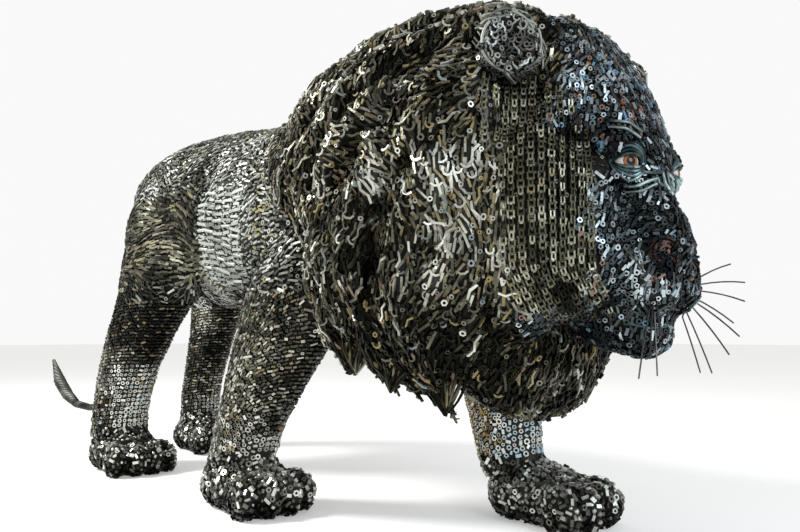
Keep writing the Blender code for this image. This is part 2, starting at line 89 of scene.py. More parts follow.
# Patches of painted light and shade, and of tone, against the rest of their part: x, y and z of
# the middle, how far each reaches, how much brighter it is, and the share of painted pieces in it
PATCHES = {
    "mane": (
        (0.84, 0.35, 0.785, 0.09, 0.2, 0.5), (0.54, 0.33, 0.76, 0.17, -0.14, 0.3),
        (1.06, 0.22, 0.9, 0.14, 0.16, 0.3), (0.77, 0.375, 0.715, 0.08, 0.2, 0.3),
        (0.855, 0.375, 0.56, 0.08, -0.4, 0.0), (0.885, 0.345, 0.605, 0.05, 0.62, 0.3),
        (0.84, 0.295, 0.965, 0.09, -0.4, 0.3), (0.55, 0.27, 0.515, 0.08, -0.16, 0.3),
        (0.915, 0.345, 0.69, 0.055, 0.72, 0.3), (0.795, 0.29, 0.385, 0.055, -0.3, 0.0),
        (0.835, 0.365, 0.815, 0.06, -0.3, 0.3), (0.885, 0.37, 0.77, 0.05, -0.38, 0.3),
        (0.85, 0.385, 0.645, 0.055, -0.38, 0.1), (0.585, 0.305, 0.68, 0.07, -0.32, 0.3),
        (0.605, 0.295, 0.57, 0.07, -0.34, 0.3), (0.5, 0.28, 0.45, 0.07, -0.18, 0.1),
        (1.032, 0.256, 0.43, 0.045, 0.34, 0.1), (0.824, 0.316, 0.904, 0.045, 0.44, 0.3),
        (1.02, 0.26, 0.915, 0.05, 0.44, 0.3),
    ),
    "cheek": (
        (1.03, 0.29, 0.65, 0.105, 0.66, 0.9), (1.04, 0.29, 0.73, 0.07, 0.46, 0.2),
        (1.085, 0.26, 0.56, 0.07, 0.44, 0.6), (0.985, 0.305, 0.56, 0.075, 0.62, 0.3),
        (1.005, 0.305, 0.48, 0.06, 0.56, 0.3), (1.01, 0.325, 0.8, 0.055, 0.3, 0.3),
        (1.08, 0.25, 0.8, 0.085, 0.02, 1.0), (1.09, 0.255, 0.705, 0.05, 0.36, 0.2),
        (1.1, 0.235, 0.475, 0.06, 0.24, 0.3), (0.985, 0.335, 0.825, 0.095, -0.56, 0.3),
        (1.01, 0.335, 0.645, 0.05, -0.22, 0.3), (1.03, 0.304, 0.554, 0.03, -0.32, 0.3),
        (1.036, 0.308, 0.716, 0.035, -0.26, 0.2),
    ),
    "face": (
        (1.205, 0.125, 0.665, 0.05, 0.4, 0.0), (1.262, 0.08, 0.54, 0.028, 0.44, 0.0),
        (1.284, 0.044, 0.496, 0.045, 0.1, 0.2), (1.21, 0.08, 0.44, 0.045, 0.2, 0.0),
        (1.248, 0.078, 0.69, 0.03, 0.44, 0.0), (1.18, 0.11, 0.89, 0.11, 0.32, 0.5),
        (1.288, 0.056, 0.55, 0.045, -0.66, 0.35), (1.275, 0.03, 0.65, 0.07, -0.02, 0.0),
        (1.225, 0.09, 0.765, 0.05, -0.26, 0.4), (1.25, 0.068, 0.68, 0.03, 0.3, 0.0),
        (1.23, 0.072, 0.796, 0.026, 0.24, 1.0), (1.204, 0.04, 0.88, 0.04, 0.3, 0.7),
        (1.186, 0.114, 0.78, 0.04, 0.22, 0.3), (1.23, 0.05, 0.81, 0.05, 0.34, 0.5),
        (1.25, 0.074, 0.476, 0.045, 0.34, 0.0), (1.21, 0.16, 0.575, 0.05, -0.2, 0.2),
        (1.18, 0.085, 0.445, 0.05, -0.3, 0.2), (1.284, 0.068, 0.518, 0.035, -0.3, 0.2),
        (1.2, 0.07, 0.4, 0.11, -0.06, 0.0), (1.192, 0.088, 0.882, 0.045, -0.2, 0.5),
        (1.25, 0.096, 0.744, 0.034, -0.34, 0.0),
    ),
    "trunk": (
        (0.36, 0.245, 0.7, 0.13, 0.48, 0.9), (0.19, 0.18, 0.9, 0.2, 0.22, 0.1),
        (0.1, 0.21, 0.86, 0.12, 0.1, 0.0), (-0.05, 0.145, 0.56, 0.14, 0.9, 0.1),
        (-0.355, 0.205, 0.82, 0.11, 0.42, 0.1), (0.005, 0.2, 0.86, 0.1, -0.42, 0.1),
        (-0.27, 0.23, 0.705, 0.12, -0.44, 0.4), (-0.4, 0.06, 0.55, 0.12, 0.8, 0.1),
        (0.01, 0.19, 0.64, 0.08, 0.3, 0.1), (-0.15, 0.15, 0.545, 0.05, -0.4, 0.1),
    ),
    "legs and paws": (
        (1.04, 0.04, 0.3, 0.11, 0.42, 0.0), (0.36, 0.2, 0.105, 0.1, 0.46, 0.1),
        (0.88, 0.175, 0.11, 0.09, 0.38, 0.1), (-0.39, 0.21, 0.125, 0.06, 0.3, 0.1),
        (0.805, 0.175, 0.195, 0.07, 0.46, 1.0), (-0.605, 0.175, 0.28, 0.11, -0.4, 0.1),
        (-0.45, 0.26, 0.19, 0.075, -0.46, 0.1), (0.35, 0.31, 0.065, 0.075, -0.34, 0.1),
        (0.985, 0.065, 0.25, 0.06, 0.36, 1.0), (-0.45, 0.275, 0.37, 0.075, 0.42, 0.2),
        (-0.395, 0.185, 0.18, 0.06, 0.28, 0.1), (-0.3, 0.175, 0.355, 0.06, -0.2, 0.1),
        (-0.555, 0.115, 0.485, 0.1, 0.76, 0.1), (0.41, 0.245, 0.26, 0.07, 0.3, 0.1),
        (0.34, 0.215, 0.14, 0.08, 0.46, 0.1), (0.725, 0.145, 0.19, 0.055, -0.34, 1.0),
        (0.675, 0.215, 0.35, 0.05, -0.3, 0.0), (-0.445, 0.27, 0.13, 0.05, -0.3, 0.1),
        (-0.68, 0.14, 0.175, 0.07, -0.4, 0.1), (0.325, 0.285, 0.22, 0.06, -0.36, 0.1),
        (0.828, 0.192, 0.136, 0.045, 0.5, 0.3), (0.435, 0.18, 0.06, 0.06, 0.24, 0.1),
    ),
}


def mirrored(vector, way):
    return Vector((vector.x, vector.y * way, vector.z))


def new_piece(name, mesh):
    made = bpy.data.objects.new(name, mesh)
    bpy.context.scene.collection.objects.link(made)
    return made


def mesh_of(name, work):
    mesh = bpy.data.meshes.new(name)
    work.to_mesh(mesh)
    work.free()
    return mesh


def settled(piece, name):
    """Makes what a piece's modifiers leave into its own plain mesh."""
    graph = bpy.context.evaluated_depsgraph_get()
    mesh = bpy.data.meshes.new_from_object(piece.evaluated_get(graph), depsgraph=graph)
    mesh.name = name
    piece.modifiers.clear()
    piece.data = mesh
    return mesh


def store(mesh, name, values):
    """Keeps one number or one vector for each vertex."""
    kind, field = ("FLOAT", "value") if values.ndim == 1 else ("FLOAT_VECTOR", "vector")
    attribute = mesh.attributes.new(name, kind, "POINT")
    attribute.data.foreach_set(field, values.astype(np.float32).ravel())


def ease(value, start, end):
    """0 before start, 1 after end, and a smooth step between them."""
    t = np.clip((value - start) / (end - start), 0, 1)
    return t * t * (3 - 2 * t)


def between(value, start, rise, fall, end):
    """1 from rise to fall, easing up to it from start and down from it to end."""
    return ease(value, start, rise) * (1 - ease(value, fall, end))


def near(middle, reach):
    """1 at a point given for the left side, and at its mirror, fading to 0 at that reach."""
    away = np.sqrt((x - middle[0]) ** 2 + (side - middle[1]) ** 2 + (z - middle[2]) ** 2)
    return 1 - ease(away, 0.35 * reach, reach)


def hide_mesh():
    """The body's form without its facets."""
    work = bmesh.new()
    work.from_mesh(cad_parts["welded_body"].data)
    bmesh.ops.remove_doubles(work, verts=work.verts, dist=1e-5)
    draft = new_piece("draft", mesh_of("rough", work))
    fuse = draft.modifiers.new("fuse", "REMESH")
    fuse.mode = "VOXEL"
    fuse.voxel_size = HIDE_GRAIN
    soften = draft.modifiers.new("soften", "SMOOTH")
    soften.factor = 0.5
    soften.iterations = HIDE_ROUNDS
    mesh = settled(draft, "hide")
    bpy.data.objects.remove(draft, do_unlink=True)
    mesh.shade_smooth()
    return mesh


def read_out(mesh, name):
    """A vector of every vertex, as one array."""
    values = np.empty(len(mesh.vertices) * 3, np.float32)
    mesh.vertices.foreach_get(name, values)
    return values.reshape(-1, 3)


def evened(values, rounds):
    """Each vertex's value averaged with its neighbours', over and over."""
    ends = np.concatenate([pairs[:, 0], pairs[:, 1]])
    others = np.concatenate([pairs[:, 1], pairs[:, 0]])
    count = np.bincount(ends, minlength=len(values))
    for _ in range(rounds):
        sums = [np.bincount(ends, column[others], len(values)) for column in values.T]
        values = 0.5 * values + 0.5 * np.stack(sums, 1) / count[:, None]
    return values


def reshape_hide():
    """Moves the hide to its new places, all of them above the floor."""
    place[:, 2] = np.maximum(place[:, 2], FLOOR_GAP)
    hide_shape.vertices.foreach_set("co", place.astype(np.float32).ravel())
    hide_shape.update()


hide_shape = hide_mesh()
place, normal = read_out(hide_shape, "co"), read_out(hide_shape, "normal")
pairs = np.empty(len(hide_shape.edges) * 2, np.int32)
hide_shape.edges.foreach_get("vertices", pairs)
pairs = pairs.reshape(-1, 2)
# How far each place stands out of the broad form: painted light on ridges, painted shade in hollows
ridge = np.clip(np.sum((place - evened(place, BROAD_ROUNDS)) * normal, 1) / RIDGE, -1, 1)
# Set back by the height of the scrap on it
place = place - normal * HIDE_SET_BACK
x, y, z = place.T
side = np.abs(y)
flat = np.zeros_like(x)

# Each eyeball stands clear of the hide in its socket
for way in (1, -1):
    look = np.array(mirrored(GAZE, way))
    off = place - np.array(mirrored(EYE, way))
    ahead = off @ look
    apart = np.linalg.norm(off - ahead[:, None] * look, axis=1)
    pushed = np.maximum(0, ahead - SOCKET_FRONT) * (1 - ease(apart, SOCKET_SIDE, SOCKET_RIM))
    place -= (pushed * (ahead < SOCKET_END))[:, None] * look
reshape_hide()

# Where each kind of scrap is welded on, from 0 to 1
along_cheek = CHEEK_ON.y * x - CHEEK_ON.x * side
rear_edge = np.interp(z, (0.00, 0.47, 0.55, 0.75, 0.95, 1.10), (0.575, 0.60, 0.575, 0.434, 0.28, 0.17))
hem_edge = np.where(x > np.where(y < 0, 0.56, 0.82), 0.235, 0.45 - 0.25 * (x - 0.60))
face_edge = np.interp(z, (0.385, 0.45, 0.50, 0.71, 0.77, 0.83, 0.90, 1.00),
                      (1.09, 1.10, 1.195, 1.205, 1.160, 1.15, 1.145, 1.10))
face_edge += 0.010 * np.sin(34 * z + 15 * side) + 0.007 * np.sin(71 * z - 40 * side)
face_edge += 0.016 * ease(z, 0.80, 0.88) * (np.sin(97 * side + 41 * z) + np.sin(163 * side - 89 * z))
chain_edge = np.where(z > 0.75, 0.745, 0.782)
on_ear = near(EAR, 0.082) > 0.2
in_tail = (x < TAIL_X) & (side < 0.15) & (z < 0.80) & ((x < -0.93) | ((z > 0.17) & (side < 0.11)))
in_face = ease(x, face_edge - 0.006, face_edge + 0.006) * ease(z, 0.36, 0.38)
in_cheek = ease(along_cheek, chain_edge - 0.005, chain_edge + 0.005) * (1 - in_face) * (side > 0.10)
in_cheek *= between(z, 0.45, 0.47, 0.86, 0.88) * (x > 1.03)
in_mane = ease(x, rear_edge - 0.02, rear_edge + 0.02) * ease(z, hem_edge - 0.01, hem_edge + 0.02)
in_mane *= (1 - in_face) * (1 - in_cheek)
in_paw = 1 - ease(z, PAW_TOP - 0.01, PAW_TOP + 0.01)
in_flank = between(x, -0.01, 0.0, 0.275, 0.285) * ease(side, 0.14, 0.17)
in_flank *= between(z, 0.53, 0.54, 0.81, 0.82) * (1 - in_mane)
in_hip = between(x, -0.50, -0.46, -0.04, -0.02) * ease(side, 0.12, 0.16)
in_hip *= between(z, 0.56, 0.58, 0.82, 0.84)
in_leg = between(z, PAW_TOP - 0.01, PAW_TOP + 0.01, 0.50, 0.52) * (1 - in_mane) * ease(side, 0.07, 0.08)
in_coat = np.clip(1 - in_mane - in_face - in_cheek - in_paw - in_flank - in_hip - in_leg, 0, 1)
zones = {"coat": in_coat, "paw": in_paw, "leg": in_leg, "hip": in_hip, "mane": in_mane,
         "face": in_face, "flank": in_flank, "cheek": in_cheek}

# How the scrap lies: along the fall of the hair in the mane, upright on the muzzle, else level
fall = np.stack([-0.25 - 0.9 * np.maximum(0, normal[:, 2]), flat, flat - 1], 1)
level = np.stack([flat + 1, flat, flat - 0.12], 1)
downward = np.maximum(in_mane, in_face)[:, None]
flow = downward * fall + (1 - downward) * level
flow -= normal * np.sum(flow * normal, 1)[:, None]
flow /= np.linalg.norm(flow, axis=1)[:, None] + 1e-6
swirl = 0.34 * np.sin(11 * x + 17 * z + 5 * y) + 0.30 * np.sin(23 * x - 13 * z + 19 * side)
swirl += 1.25 * near((0.860, 0.350, 0.780), 0.150) - 0.9 * near((0.960, 0.300, 0.930), 0.120)
flow = flow * np.cos(swirl)[:, None] + np.cross(normal, flow) * np.sin(swirl)[:, None]

# The mane is beaten up into narrow locks that run along the fall of the hair
dice = np.random.default_rng(7)
locks = evened(dice.normal(size=(len(place), 1)), LOCK_BROAD)[:, 0]
in_locks = in_mane * (1 - near(EAR, 0.110))
finder = KDTree(len(place))
for i, spot in enumerate(place):
    finder.insert(spot, i)
finder.balance()
ahead, behind = np.arange(len(place)), np.arange(len(place))
for i in np.nonzero(in_locks > 0.05)[0]:
    ahead[i] = finder.find(place[i] + LOCK_STEP * flow[i])[1]
    behind[i] = finder.find(place[i] - LOCK_STEP * flow[i])[1]
for _ in range(LOCK_LONG):
    locks = (locks + locks[ahead] + locks[behind]) / 3
locks = evened(locks[:, None], LOCK_SMOOTH)[:, 0]
locks = np.tanh(1.1 * locks / np.std(locks[in_locks > 0.5])) * in_locks
place = place + normal * (LOCK_LIFT * locks)[:, None]
reshape_hide()

# How bright the steel is painted: each part's tone, painted light on ridges, lock crests and the
# fronts of the shins, painted shade in the hollows, on the soles and underneath
worn = PLAIN_SHINE + RIDGE_LIGHT * ridge + 0.24 * locks
for part, (gain, on_ridge) in PART_TONE_AND_LIGHT.items():
    worn += zones[part] * (gain + on_ridge * ridge)
# Painted light along the top of the back, painted shade on the lowest locks of the mane
worn += 0.08 * ease(z, 0.80, 0.93) * in_coat - 0.40 * in_mane * (1 - ease(z, 0.36, 0.52))
# Painted shade next to the floor and on whatever faces down
worn -= 0.75 * (1 - ease(z, 0.018, 0.060)) + 0.30 * (1 - ease(normal[:, 2], -0.75, -0.20))
on_left_fore = (x > 0.6) * (1 - in_mane)
# Painted shade on the right thigh and the left hind leg, painted light on the fronts of the hind shins;
# the fore ankles lighter
for gain, place_on_leg in (
    (-0.60, (1 - ease(x, -0.22, -0.12)) * between(z, 0.36, 0.40, 0.54, 0.60) * (y < 0)),
    (-0.20, (x < -0.35) * (y > 0) * ease(z, 0.22, 0.30)),
    (0.50, ease(normal[:, 0], 0.0, 0.6) * between(z, 0.12, 0.16, 0.30, 0.36) * (x < 0)),
    (0.52, on_left_fore * between(z, 0.13, 0.15, 0.26, 0.30)),
    (0.14, (x > 0) * (y < 0) * between(z, 0.13, 0.15, 0.24, 0.30)),
):
    worn += gain * place_on_leg
painted = 0.10 + 0.16 * in_mane + 0.90 * on_left_fore * (z > 0.13) * (z < 0.30)
# Patches of painted light and shade, each with its share of painted pieces
for patches in PATCHES.values():
    for *middle, reach, gain, paint in patches:
        spot = near(middle, reach)
        worn += gain * spot
        painted = painted * (1 - spot) + paint * spot
worn = np.clip(worn, DARKEST, 1)
# Which of its two old paints a painted piece keeps: on the left fore ankle, gold behind only
gilt = 0.5 + on_left_fore * (z > 0.13) * (z < 0.31) * (0.5 - ease(x, 0.730, 0.765))
light_tone_and_paint = {"worn": worn, "painted": painted, "gilt": gilt}

for part in ("coat", "paw", "leg"):
    zones[part] = zones[part] * ~in_tail
for part in ("mane", "face", "cheek"):
    zones[part] = zones[part] * ~on_ear
zones["ear"] = on_ear * (1 - in_cheek)
for name, values in (zones | light_tone_and_paint | {"flow": flow}).items():
    store(hide_shape, name, values)
hide_tree = BVHTree.FromPolygons(
    [Vector(p) for p in place], [tuple(f.vertices) for f in hide_shape.polygons]
)


def live(sockets, name):
    """The socket of that name that the node's settings have switched on."""
    return next(s for s in sockets if s.name == name and s.enabled)


def fed(tree, node, feeds):
    """A node whose inputs, by name or number, are given plain values or other nodes' results."""
    for key, value in feeds.items():
        socket = live(node.inputs, key) if isinstance(key, str) else node.inputs[key]
        if isinstance(value, bpy.types.Node):
            value = next(s for s in value.outputs if s.enabled)
        if isinstance(value, bpy.types.NodeSocket):
            tree.links.new(value, socket)
        else:
            socket.default_value = value
    return node


def wired(tree, kind, feeds=None, **settings):
    """A new node with its settings and its inputs."""
    node = tree.nodes.new(kind)
    for key, value in settings.items():
        setattr(node, key, value)
    return fed(tree, node, feeds or {})


def maths(tree, operation, *values):
    """One sum on sockets or plain numbers."""
    return wired(tree, "ShaderNodeMath", dict(enumerate(values)), operation=operation)


def blend(tree, share, under, over):
    """A share of one colour laid over another."""
    return wired(tree, "ShaderNodeMix", {"Factor": share, "A": under, "B": over}, data_type="RGBA")


def speckle(tree, scale, detail):
    """Random clouds through the whole piece, at that many to the metre."""
    spot = wired(tree, "ShaderNodeTexCoord").outputs["Object"]
    return wired(tree, "ShaderNodeTexNoise", {"Vector": spot, "Scale": scale, "Detail": detail})


def kept_number(tree, name):
    """The number that the mesh keeps under that name."""
    return wired(tree, "ShaderNodeAttribute", attribute_name=name).outputs["Fac"]


def new_group(name, kind, takes, gives):
    """A group of nodes to fill: its tree, what it is given and its last node."""
    tree = bpy.data.node_groups.new(name, kind)
    for way, sockets in (("INPUT", takes), ("OUTPUT", gives)):
        for title, socket in sockets.items():
            tree.interface.new_socket(title, in_out=way, socket_type="NodeSocket" + socket)
    return tree, tree.nodes.new("NodeGroupInput").outputs, tree.nodes.new("NodeGroupOutput")


def new_finish(name):
    """A material to fill: itself, its tree and its surface node."""
    made = bpy.data.materials.new(name)
    made.use_nodes = True
    return made, made.node_tree, made.node_tree.nodes["Principled BSDF"]


def worn_and_lit_steel_group():
    """Steel from soot to bright metal: by piece, by painted light and shade on the lion, and by patches
    of dirt.
    """
    tree, given, result = new_group("worn steel with painted light and shade", "ShaderNodeTree", {
        "Soot": "Color", "Steel": "Color", "Bright": "Color", "Paint": "Color",
        "Other Paint": "Color", "Painted Share": "Float", "Brightness": "Float",
        "Roughness": "Float",
    }, {"Base Color": "Color", "Roughness": "Float", "Metallic": "Float", "Normal": "Vector"})
    tint = kept_number(tree, "tint")
    patch, dirt, grit = speckle(tree, 11.0, 2.0), speckle(tree, 38.0, 4.0), speckle(tree, 420.0, 3.0)
    # How bright it is: the piece's own share, painted light and shade for its place on the lion, and
    # patches of dirt
    own = maths(tree, "MULTIPLY", maths(tree, "POWER", tint, 2.2), 0.75)
    shine = maths(tree, "MULTIPLY_ADD", kept_number(tree, "worn"), 0.85, own)
    shine = maths(tree, "MULTIPLY_ADD", patch, 1.0, shine)
    shine = maths(tree, "MULTIPLY_ADD", dirt, 0.6, shine)
    shine = maths(tree, "ADD", shine, given["Brightness"])
    low, high = [
        wired(tree, "ShaderNodeMapRange", {"Value": shine, "From Min": start, "From Max": end},
              interpolation_type="SMOOTHSTEP")
        for start, end in ((0.76, 1.40), (1.28, 1.75))
    ]
    bare = blend(tree, high, blend(tree, low, given["Soot"], given["Steel"]), given["Bright"])
    # A few pieces keep their old paint, chipped in patches
    dice = wired(tree, "ShaderNodeTexWhiteNoise", {"W": maths(tree, "MULTIPLY", tint, 731.0)},
                 noise_dimensions="1D").outputs
    share = maths(tree, "MULTIPLY", kept_number(tree, "painted"), given["Painted Share"])
    chosen = maths(tree, "LESS_THAN", dice["Value"], share)
    chips = wired(tree, "ShaderNodeMapRange", {"Value": dirt, "From Min": 0.62, "From Max": 0.50})
    kept = maths(tree, "MULTIPLY", chosen, chips)
    hues = wired(tree, "ShaderNodeSeparateColor", {"Color": dice["Color"]}).outputs
    second = maths(tree, "GREATER_THAN", hues["Green"], kept_number(tree, "gilt"))
    coat = blend(tree, second, given["Paint"], given["Other Paint"])
    height = maths(tree, "MULTIPLY_ADD", dirt, 2.0, grit)
    fed(tree, result, {
        "Base Color": blend(tree, kept, bare, coat),
        "Roughness": maths(tree, "MULTIPLY_ADD", grit, 0.22, given["Roughness"]),
        "Metallic": maths(tree, "SUBTRACT", 1.0, kept),
        "Normal": wired(tree, "ShaderNodeBump", {"Height": height, "Strength": 0.35,
                                                 "Distance": 0.0015}),
    })
    return tree


worn_and_lit_steel = worn_and_lit_steel_group()


def steel_finish(name, soot_and_shade, steel, bright, paint=(0.1, 0.1, 0.1), other=(0.1, 0.1, 0.1),
                 share=0.0, brightness=0.0, roughness=0.30):
    """A material of worn steel with painted light and shade, in this piece's own colours."""
    made, tree, surface = new_finish(name)
    finish = wired(tree, "ShaderNodeGroup", node_tree=worn_and_lit_steel)
    fed(tree, finish, {
        "Soot": (*soot_and_shade, 1), "Steel": (*steel, 1), "Bright": (*bright, 1), "Paint": (*paint, 1),
        "Other Paint": (*other, 1), "Painted Share": share, "Brightness": brightness,
        "Roughness": roughness,
    })
    fed(tree, surface, {output.name: output for output in finish.outputs})
    return made


hide = new_piece("hide", hide_shape)
hide.modifiers.new("thin out", "DECIMATE").ratio = HIDE_KEPT
# Painted nearly black: burnt steel, and painted shade where the hide shows in the gaps
settled(hide, "hide_sheet").materials.append(
    steel_finish("burnt sheet with gap shade", (0.008, 0.008, 0.008), (0.024, 0.023, 0.020), (0.05, 0.05, 0.045),
                 brightness=0.10, roughness=0.55)
)
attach(hide, "root")
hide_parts("welded_body")

# ----------------------------------------------------------------------
# The coat of the trunk. Small hex nuts, washers and cut lengths of bar, tacked down one
# beside the other with a small weld, so that the dark hide shows only in the gaps.
NUT_ACROSS = 0.0135
NUT_THICK = 0.006
BAR_LENGTH = 0.023
BAR_WIDTH = 0.0062
# How far a rod's corners stand out beyond its half width
CORNER_REACH = 1.25
SIZE_SEED, TINT_SEED = 3, 11
# The most pieces to a square metre, and the lowest place that a piece may reach
MOST_SCRAP = 60000.0
LOWEST = (-9.0, -9.0, 0.0004)
stock = bpy.data.collections.new("stock of scrap")


def sorted_stock(name, *pieces):
    """A box of loose scrap that the welder picks from."""
    box = bpy.data.collections.new(name)
    stock.children.link(box)
    for piece in pieces:
        box.objects.link(piece)
    return box


def loose(name, work, smooth=False):
    """A loose piece of scrap, with its back on the XY plane and its length along X."""
    bmesh.ops.recalc_face_normals(work, faces=work.faces)
    mesh = mesh_of(name, work)
    if smooth:
        mesh.shade_smooth()
    return bpy.data.objects.new(name, mesh)


def turns(sides, start=0.0):
    """The angle of each corner of a ring."""
    return [math.tau * (i + start) / sides for i in range(sides)]


def walled(work, rings, capped=True):
    """Faces from each ring of corners to the next, and on both ends."""
    for one, other in zip(rings, rings[1:]):
        for i in range(len(one)):
            work.faces.new((one[i - 1], one[i], other[i], other[i - 1]))
    if capped:
        work.faces.new(rings[0])
        work.faces.new(rings[-1])


def nut(name, across, hole, thick, sides=6):
    """A nut or washer: an outer and an inner ring, joined on all four faces."""
    work = bmesh.new()
    rings = [
        [work.verts.new((radius * math.cos(turn), radius * math.sin(turn), height))
         for turn in turns(sides)]
        for radius, height in ((across / 2, 0), (across / 2, thick), (hole / 2, thick), (hole / 2, 0))
    ]
    walled(work, rings + rings[:1], capped=False)
    return loose(name, work)


def rod(name, length, half_width, half_height, arch=0.0, sway=0.0, sides=4, spans=1, taper=0.0):
    """A cut bar or bent rod: arch bends its ends down, sway bends it sideways like an S."""
    work = bmesh.new()
    rings = []
    for s in range(spans + 1):
        t = 2 * s / spans - 1
        aside, lift = sway * math.sin(math.pi * t), half_height - arch * t * t
        shrink = CORNER_REACH * (1 - taper * max(0, t))
        rings.append([
            work.verts.new((0.5 * length * t, aside + half_width * shrink * math.cos(turn),
                            lift + half_height * shrink * math.sin(turn)))
            for turn in turns(sides, 0.5)
        ])
    walled(work, rings)
    return loose(name, work, smooth=sides > 4)


def chance(tree, low, high, seed, kind="FLOAT"):
    """A value for each point, at random between two limits."""
    return wired(tree, "FunctionNodeRandomValue", {"Min": low, "Max": high, "Seed": seed},
                 data_type=kind)


def kept_on(tree, name, kind="FLOAT"):
    """What each point keeps under that name."""
    return wired(tree, "GeometryNodeInputNamedAttribute", {"Name": name}, data_type=kind)


def faced(tree, axis, vector, before=None, about="AUTO"):
    """A rotation that turns an axis to face along a vector, after the one before."""
    feeds = {"Vector": vector, **({"Rotation": before} if before else {})}
    return wired(tree, "FunctionNodeAlignRotationToVector", feeds, axis=axis, pivot_axis=about)


def turned_on(tree, rotation, angles):
    """A rotation turned further about its own axes."""
    euler = wired(tree, "FunctionNodeEulerToRotation", {"Euler": angles})
    return wired(tree, "FunctionNodeRotateRotation", {"Rotation": rotation, "Rotate By": euler},
                 rotation_space="LOCAL")


def set_down(tree, given, points, index, aim):
    """A piece of the stock on each point, each of its own size and tint, as real geometry."""
    pieces = wired(tree, "GeometryNodeCollectionInfo", {
        "Collection": given["Stock"], "Separate Children": True, "Reset Children": True})
    size = chance(tree, given["Smallest"], given["Largest"], SIZE_SEED)
    put = wired(tree, "GeometryNodeInstanceOnPoints", {
        "Points": points, "Instance": pieces, "Pick Instance": True, "Instance Index": index,
        "Rotation": aim, "Scale": size})
    tinted = wired(tree, "GeometryNodeStoreNamedAttribute", {
        "Geometry": put, "Name": "tint", "Value": chance(tree, 0.0, 1.0, TINT_SEED),
    }, data_type="FLOAT", domain="INSTANCE")
    return wired(tree, "GeometryNodeRealizeInstances", {"Geometry": tinted})


def finished(tree, given, result, geometry):
    """Ends a tree: its geometry takes the finish that was asked for."""
    done = wired(tree, "GeometryNodeSetMaterial", {"Geometry": geometry, "Material": given["Finish"]})
    fed(tree, result, {0: done})
    return tree


def scrap_coat_tree():
    """Scatters pieces over the hide, evenly spaced, laid along its flow and tinted one by one."""
    tree, given, result = new_group("weld on scrap", "GeometryNodeTree", {
        "Hide": "Geometry", "Stock": "Collection", "Zone": "String", "Spacing": "Float",
        "Tilt": "Float", "Wander": "Float", "Smallest": "Float", "Largest": "Float",
        "Lift": "Float", "Seed": "Int", "Finish": "Material",
    }, {"Scrap": "Geometry"})
    inside = wired(tree, "FunctionNodeCompare", {"A": kept_on(tree, given["Zone"]), "B": 0.5},
                   data_type="FLOAT", operation="GREATER_THAN")
    spread = wired(tree, "GeometryNodeDistributePointsOnFaces", {
        "Mesh": given["Hide"], "Selection": inside, "Distance Min": given["Spacing"],
        "Density Max": MOST_SCRAP, "Seed": given["Seed"]}, distribute_method="POISSON")
    outward = spread.outputs["Normal"]
    stand = faced(tree, "Z", outward)
    lay = faced(tree, "X", kept_on(tree, "flow", "FLOAT_VECTOR"), before=stand, about="Z")
    most = wired(tree, "ShaderNodeCombineXYZ", {
        "X": given["Tilt"], "Y": given["Tilt"], "Z": given["Wander"]})
    least = wired(tree, "ShaderNodeVectorMath", {0: most, "Scale": -1.0}, operation="SCALE")
    turn = chance(tree, least, most, given["Seed"], "FLOAT_VECTOR")
    raised = wired(tree, "ShaderNodeVectorMath", {0: outward, "Scale": given["Lift"]},
                   operation="SCALE")
    lifted = wired(tree, "GeometryNodeSetPosition", {
        "Geometry": spread.outputs["Points"], "Offset": raised})
    pick = chance(tree, 0, 99, given["Seed"], "INT")
    real = set_down(tree, given, lifted, pick, turned_on(tree, lay, turn))
    # Whatever would reach below the floor is ground flush with it
    here = wired(tree, "GeometryNodeInputPosition")
    flush = wired(tree, "ShaderNodeVectorMath", {0: here, 1: LOWEST}, operation="MAXIMUM")
    ground = wired(tree, "GeometryNodeSetPosition", {"Geometry": real, "Position": flush})
    return finished(tree, given, result, ground)


def welded_on(name, base, tree, **values):
    """Runs a tree over a base mesh and keeps what it makes as a plain piece of the lion."""
    piece = new_piece(name, base)
    modifier = piece.modifiers.new(tree.name, "NODES")
    modifier.node_group = tree
    for port in tree.interface.items_tree:
        if port.in_out == "INPUT" and port.name.lower() in values:
            modifier[port.identifier] = values[port.name.lower()]
    settled(piece, name)
    piece.name = name
    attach(piece, "root")


scrap_coat = scrap_coat_tree()
coat_scrap = sorted_stock(
    "coat scrap",
    nut("coat_nut", NUT_ACROSS, 0.007, NUT_THICK),
    rod("coat_bar", BAR_LENGTH, BAR_WIDTH / 2, 0.0028),
    rod("coat_bar_bent", BAR_LENGTH * 1.2, BAR_WIDTH / 2.4, 0.0030, arch=0.001, spans=2),
    rod("coat_stub", BAR_LENGTH * 0.6, BAR_WIDTH / 2, 0.0034),
)
coat_steel = steel_finish(
    "coat steel", (0.020, 0.020, 0.017), (0.160, 0.162, 0.138), (0.50, 0.52, 0.49),
    paint=(0.24, 0.22, 0.09), other=(0.30, 0.32, 0.26), share=0.45, brightness=-0.04,
    roughness=0.46,
)
welded_on("coat_scrap", hide_shape, scrap_coat, stock=coat_scrap, zone="coat", spacing=0.0122,
          tilt=0.14, wander=0.45, smallest=0.75, largest=1.15, seed=5, finish=coat_steel)

